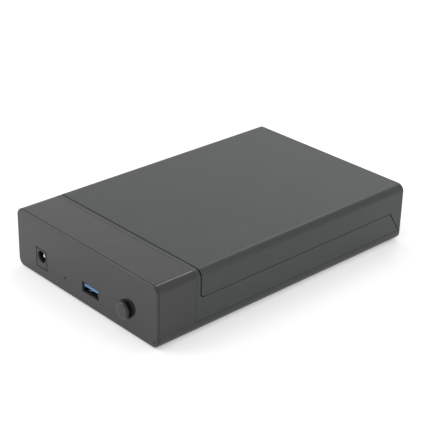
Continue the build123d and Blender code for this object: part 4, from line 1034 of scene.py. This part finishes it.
def solder_joint(mesh, place, radius, height):
    """Hollow sided cone of solder under the board, round one leg."""
    loops = []
    for ring in range(SOLDER_RINGS + 1):
        share = ring / SOLDER_RINGS
        spread = SOLDER_TIP + (1.0 - SOLDER_TIP) * (1.0 - share) ** SOLDER_HOLLOW
        z = BOARD_UNDERSIDE - height * share
        loop = []
        for index in range(SOLDER_SEGMENTS):
            angle = 2 * math.pi * index / SOLDER_SEGMENTS
            wave = math.sin(SOLDER_LOBES * angle + SOLDER_TURN_PER_METRE * place.x)
            out = radius * spread * (1.0 + SOLDER_WOBBLE * wave)
            point = (place.x + out * math.cos(angle), place.y + out * math.sin(angle), z)
            loop.append(mesh.verts.new(point))
        loops.append(loop)
    for upper, lower in zip(loops, loops[1:]):
        for index in range(SOLDER_SEGMENTS):
            after = (index + 1) % SOLDER_SEGMENTS
            face = mesh.faces.new((upper[index], upper[after], lower[after], lower[index]))
            face.smooth = True
    mesh.faces.new(loops[0])
    mesh.faces.new(reversed(loops[-1]))


class ENCLOSURE_OT_effects(Operator):
    """Builds the shared surface effects"""

    bl_idname = "enclosure.effects"
    bl_label = "Surface effects"

    def execute(self, context):
        for make in EFFECTS:
            make()
        return {"FINISHED"}


class ENCLOSURE_OT_casing(Operator):
    """Finishes the lid, the side frame and the bottom pan"""

    bl_idname = "enclosure.casing"
    bl_label = "Casing shells"

    def execute(self, context):
        look = context.scene.enclosure_casing
        frame_colour = lighter(look.colour, 1.06)
        finish(satin_plastic("pan plastic", look.colour, look, (INNER_FLOOR, 1)), "bottom_pan")
        finish(satin_plastic("lid plastic", look.colour, look, (INNER_TOP, -1)), "sliding_lid")
        finish(satin_plastic("frame plastic", frame_colour, look), "side_frame")
        return {"FINISHED"}


class ENCLOSURE_OT_end_cap(Operator):
    """Finishes the polished end cap"""

    bl_idname = "enclosure.end_cap"
    bl_label = "End cap"

    def execute(self, context):
        finish(polished_plastic(context.scene.enclosure_casing), "front_cap")
        return {"FINISHED"}


class ENCLOSURE_OT_power_button(Operator):
    """Finishes the power button, its stem and its switch"""

    bl_idname = "enclosure.power_button"
    bl_label = "Power button and switch"

    def execute(self, context):
        body_colour = lighter(context.scene.enclosure_sockets.housing, 1.3)
        finish(button_plastic(context.scene.enclosure_casing), "power_button")
        finish(stem_plastic(), "switch_plunger")
        finish(filled_plastic("switch plastic", body_colour), "switch_body")
        return_spring()
        finish(plated_metal("tinned brass", (0.70, 0.69, 0.66), 0.3), "switch_terminals")
        return {"FINISHED"}


class ENCLOSURE_OT_dc_socket(Operator):
    """Finishes the DC socket"""

    bl_idname = "enclosure.dc_socket"
    bl_label = "DC socket"

    def execute(self, context):
        look = context.scene.enclosure_sockets
        nickel = plated_metal("jack nickel", lighter(look.nickel, 1.2), 0.16)
        finish(jack_plastic(look), "dc_jack_body")
        finish(nickel, "dc_jack_pin", "dc_jack_spring")
        return {"FINISHED"}


class ENCLOSURE_OT_usb_socket(Operator):
    """Finishes the USB socket"""

    bl_idname = "enclosure.usb_socket"
    bl_label = "USB socket"

    def execute(self, context):
        look = context.scene.enclosure_sockets
        finish(shell_metal(look), "usb_shell")
        finish(tongue_plastic(look), "usb_insulator")
        finish(plated_metal("usb contact gold", look.gold, 0.16), "usb_contacts")
        return {"FINISHED"}


class ENCLOSURE_OT_drive_connector(Operator):
    """Finishes the drive connector"""

    bl_idname = "enclosure.drive_connector"
    bl_label = "Drive connector"

    def execute(self, context):
        look = context.scene.enclosure_sockets
        finish(filled_plastic("connector plastic", look.housing, 0.46), "sata_housing")
        finish(plated_metal("drive contact gold", look.gold, 0.2), "sata_contacts")
        return {"FINISHED"}


class ENCLOSURE_OT_light(Operator):
    """Finishes the light pipe and its lamp"""

    bl_idname = "enclosure.light"
    bl_label = "Light pipe and lamp"

    def execute(self, context):
        finish(clear_plastic(), "light_pipe")
        finish(led_resin(), "status_led")
        return {"FINISHED"}


class ENCLOSURE_OT_board(Operator):
    """Finishes the circuit board and adds its solder joints"""

    bl_idname = "enclosure.board"
    bl_label = "Circuit board and solder"

    def execute(self, context):
        look = context.scene.enclosure_board
        finish(board_lacquer(look), "controller_board")
        built = bmesh.new()
        for name in ("switch_terminals", "usb_shell", "dc_jack_pin", "dc_jack_spring"):
            for place in leg_places(name):
                solder_joint(built, place, look.joint_radius, look.joint_height)
        bmesh.ops.recalc_face_normals(built, faces=built.faces)
        mesh = mesh_from(built, "solder_joints")
        new_piece("solder_joints", mesh, [solder_metal(look)], "housing")
        return {"FINISHED"}


class ENCLOSURE_OT_board_parts(Operator):
    """Finishes the chips and the other parts on the board"""

    bl_idname = "enclosure.board_parts"
    bl_label = "Parts on the board"

    def execute(self, context):
        tin_colour = context.scene.enclosure_board.solder
        resin = chip_resin("chip resin", (0.020, 0.020, 0.021))
        finish(resin, "bridge_chip", "flash_chip", "regulator_chip", "schottky_diode")
        tin = plated_metal("lead tin", tin_colour, 0.3)
        finish(tin, "bridge_chip_leads", "flash_chip_leads", "regulator_leads")
        finish(tin, "power_inductor_terminals")
        finish(ferrite_compound(), "power_inductor_core")
        finish(can_metal(), "capacitor_cans")
        finish(chip_resin("base resin", (0.015, 0.015, 0.016)), "capacitor_bases")
        finish(plated_metal("crystal steel", (0.72, 0.70, 0.64), 0.25), "crystal")
        finish(ceramic_body("capacitor ceramic", (0.42, 0.29, 0.17)), "ceramic_capacitors")
        finish(ceramic_body("resistor glaze", (0.030, 0.030, 0.032)), "chip_resistors")
        return {"FINISHED"}


class ENCLOSURE_OT_screws(Operator):
    """Finishes the screws"""

    bl_idname = "enclosure.screws"
    bl_label = "Screws"

    def execute(self, context):
        black = oxide_steel("black oxide steel", (0.055, 0.054, 0.053), 0.38, (0.35, 0.34, 0.33))
        zinc = oxide_steel("zinc steel", (0.62, 0.62, 0.60), 0.3, (0.82, 0.82, 0.80))
        finish(black, "case_screws")
        finish(zinc, "board_screws")
        return {"FINISHED"}


class ENCLOSURE_OT_feet(Operator):
    """Finishes the rubber feet"""

    bl_idname = "enclosure.feet"
    bl_label = "Rubber feet"

    def execute(self, context):
        feet = [f"foot_{end}_{side}" for end in ("front", "rear") for side in ("left", "right")]
        finish(foot_rubber(), *feet)
        return {"FINISHED"}


class ENCLOSURE_OT_foam(Operator):
    """Models the foam strips that hold the drive"""

    bl_idname = "enclosure.foam"
    bl_label = "Foam strips"

    def execute(self, context):
        look = context.scene.enclosure_foam
        recipes = [foam_cells(look), paper_tape(look)]
        strips = {
            "lid_foam_front": Vector((0, 0, -1)),
            "lid_foam_rear": Vector((0, 0, -1)),
            "rear_foam": Vector((0, -1, 0)),
        }
        for node, away in strips.items():
            mesh = foam_mesh(node + "_strip", *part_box(node), away, look)
            piece = new_piece(node + "_strip", mesh, recipes, "lid")
            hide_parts(node)
        return {"FINISHED"}


class ENCLOSURE_OT_studio(Operator):
    """Sets up the floor, the light and the camera"""

    bl_idname = "enclosure.studio"
    bl_label = "Studio"

    def execute(self, context):
        studio = context.scene.enclosure_studio
        make_camera(context.scene, studio)
        make_floor(studio)
        make_world(context.scene, studio)
        for name, (place, size) in SOFTBOXES.items():
            make_softbox(name + "_softbox", place, size, getattr(studio, name))
        context.scene.view_settings.view_transform = "Standard"
        return {"FINISHED"}


def make_camera(scene, studio):
    """Camera at the viewing angle of the photograph."""
    a, e = studio.azimuth, studio.elevation
    back = Vector((math.sin(a) * math.cos(e), -math.cos(a) * math.cos(e), math.sin(e)))
    level = Vector((math.cos(a), math.sin(a), 0.0))
    upwards = back.cross(level)
    right = math.cos(studio.roll) * level + math.sin(studio.roll) * upwards
    up = math.cos(studio.roll) * upwards - math.sin(studio.roll) * level
    data = bpy.data.cameras.new("camera")
    data.sensor_width = SENSOR_WIDTH
    data.lens = studio.lens
    data.clip_start = 0.01
    data.clip_end = 20.0
    camera = bpy.data.objects.new("camera", data)
    turn = Matrix((right, up, back)).transposed().to_4x4()
    camera.matrix_world = Matrix.Translation(Vector(studio.aim) + back * studio.distance) @ turn
    scene.collection.objects.link(camera)
    scene.camera = camera


def make_floor(studio):
    """Round pale floor that keeps the enclosure's shadow."""
    built = bmesh.new()
    bmesh.ops.create_circle(built, cap_ends=True, segments=96, radius=studio.floor_radius)
    floor = bpy.data.objects.new("floor", mesh_from(built, "floor"))
    bpy.context.scene.collection.objects.link(floor)
    recipe = Recipe("studio floor", studio.floor_colour, 0.9, Specular_IOR_Level=0.0)
    paper = recipe.patches(90 * MM, 0.3, 0.7, detail=3.0)
    recipe.paint(paper, lighter(studio.floor_colour, 0.985))
    recipe.give("Emission Color", WHITE)
    glow = recipe.maths("MULTIPLY", recipe.seen_directly(), studio.floor_glow)
    recipe.give("Emission Strength", glow)
    floor.data.materials.append(recipe.material)


def make_world(scene, studio):
    """White all round, seen at full white and lighting a little less."""
    world = bpy.data.worlds.new("studio world")
    world.use_nodes = True
    wiring = Wiring(world.node_tree)
    background = world.node_tree.nodes["Background"].inputs
    wiring.feed(background["Color"], WHITE)
    strength = wiring.between(wiring.seen_directly(), studio.sky, 1.0)
    wiring.feed(background["Strength"], strength)
    scene.world = world


def make_softbox(name, place, size, power):
    """Square area light that looks at the middle of the casing."""
    data = bpy.data.lights.new(name, "AREA")
    data.shape = "SQUARE"
    data.size = size
    data.energy = power
    light = bpy.data.objects.new(name, data)
    light.location = place
    light.rotation_mode = "QUATERNION"
    light.rotation_quaternion = (CASING_MIDDLE - Vector(place)).to_track_quat("-Z", "Y")
    bpy.context.scene.collection.objects.link(light)


class ENCLOSURE_PT_build(Panel):
    """Lists the sizes, the colours and the steps"""

    bl_label = "Drive enclosure"
    bl_space_type = "VIEW_3D"
    bl_region_type = "UI"
    bl_category = "Enclosure"

    def draw(self, context):
        scene = context.scene
        for group in SETTINGS:
            settings = getattr(scene, group)
            box = self.layout.box()
            box.label(text=SETTINGS[group].__doc__)
            for name in SETTINGS[group].__annotations__:
                box.prop(settings, name)
        for operator in OPERATORS:
            self.layout.operator(operator.bl_idname)


SETTINGS = {
    "enclosure_casing": CasingLook,
    "enclosure_sockets": SocketLook,
    "enclosure_board": BoardLook,
    "enclosure_foam": FoamLook,
    "enclosure_studio": Studio,
}
OPERATORS = (
    ENCLOSURE_OT_effects, ENCLOSURE_OT_studio, ENCLOSURE_OT_casing, ENCLOSURE_OT_end_cap,
    ENCLOSURE_OT_power_button, ENCLOSURE_OT_dc_socket, ENCLOSURE_OT_usb_socket,
    ENCLOSURE_OT_drive_connector, ENCLOSURE_OT_light, ENCLOSURE_OT_board,
    ENCLOSURE_OT_board_parts, ENCLOSURE_OT_screws, ENCLOSURE_OT_feet, ENCLOSURE_OT_foam,
)


def register():
    """Makes the settings, the operators and the panel known."""
    for settings in SETTINGS.values():
        bpy.utils.register_class(settings)
    for operator in OPERATORS:
        bpy.utils.register_class(operator)
    bpy.utils.register_class(ENCLOSURE_PT_build)
    for name, settings in SETTINGS.items():
        setattr(bpy.types.Scene, name, PointerProperty(type=settings))


def unregister():
    """Removes what register added."""
    for name in SETTINGS:
        delattr(bpy.types.Scene, name)
    bpy.utils.unregister_class(ENCLOSURE_PT_build)
    for operator in reversed(OPERATORS):
        bpy.utils.unregister_class(operator)
    for settings in reversed(list(SETTINGS.values())):
        bpy.utils.unregister_class(settings)


def main():
    """Runs every step."""
    register()
    for operator in OPERATORS:
        family, step = operator.bl_idname.split(".")
        getattr(getattr(bpy.ops, family), step)()


if __name__ == "__main__":
    main()
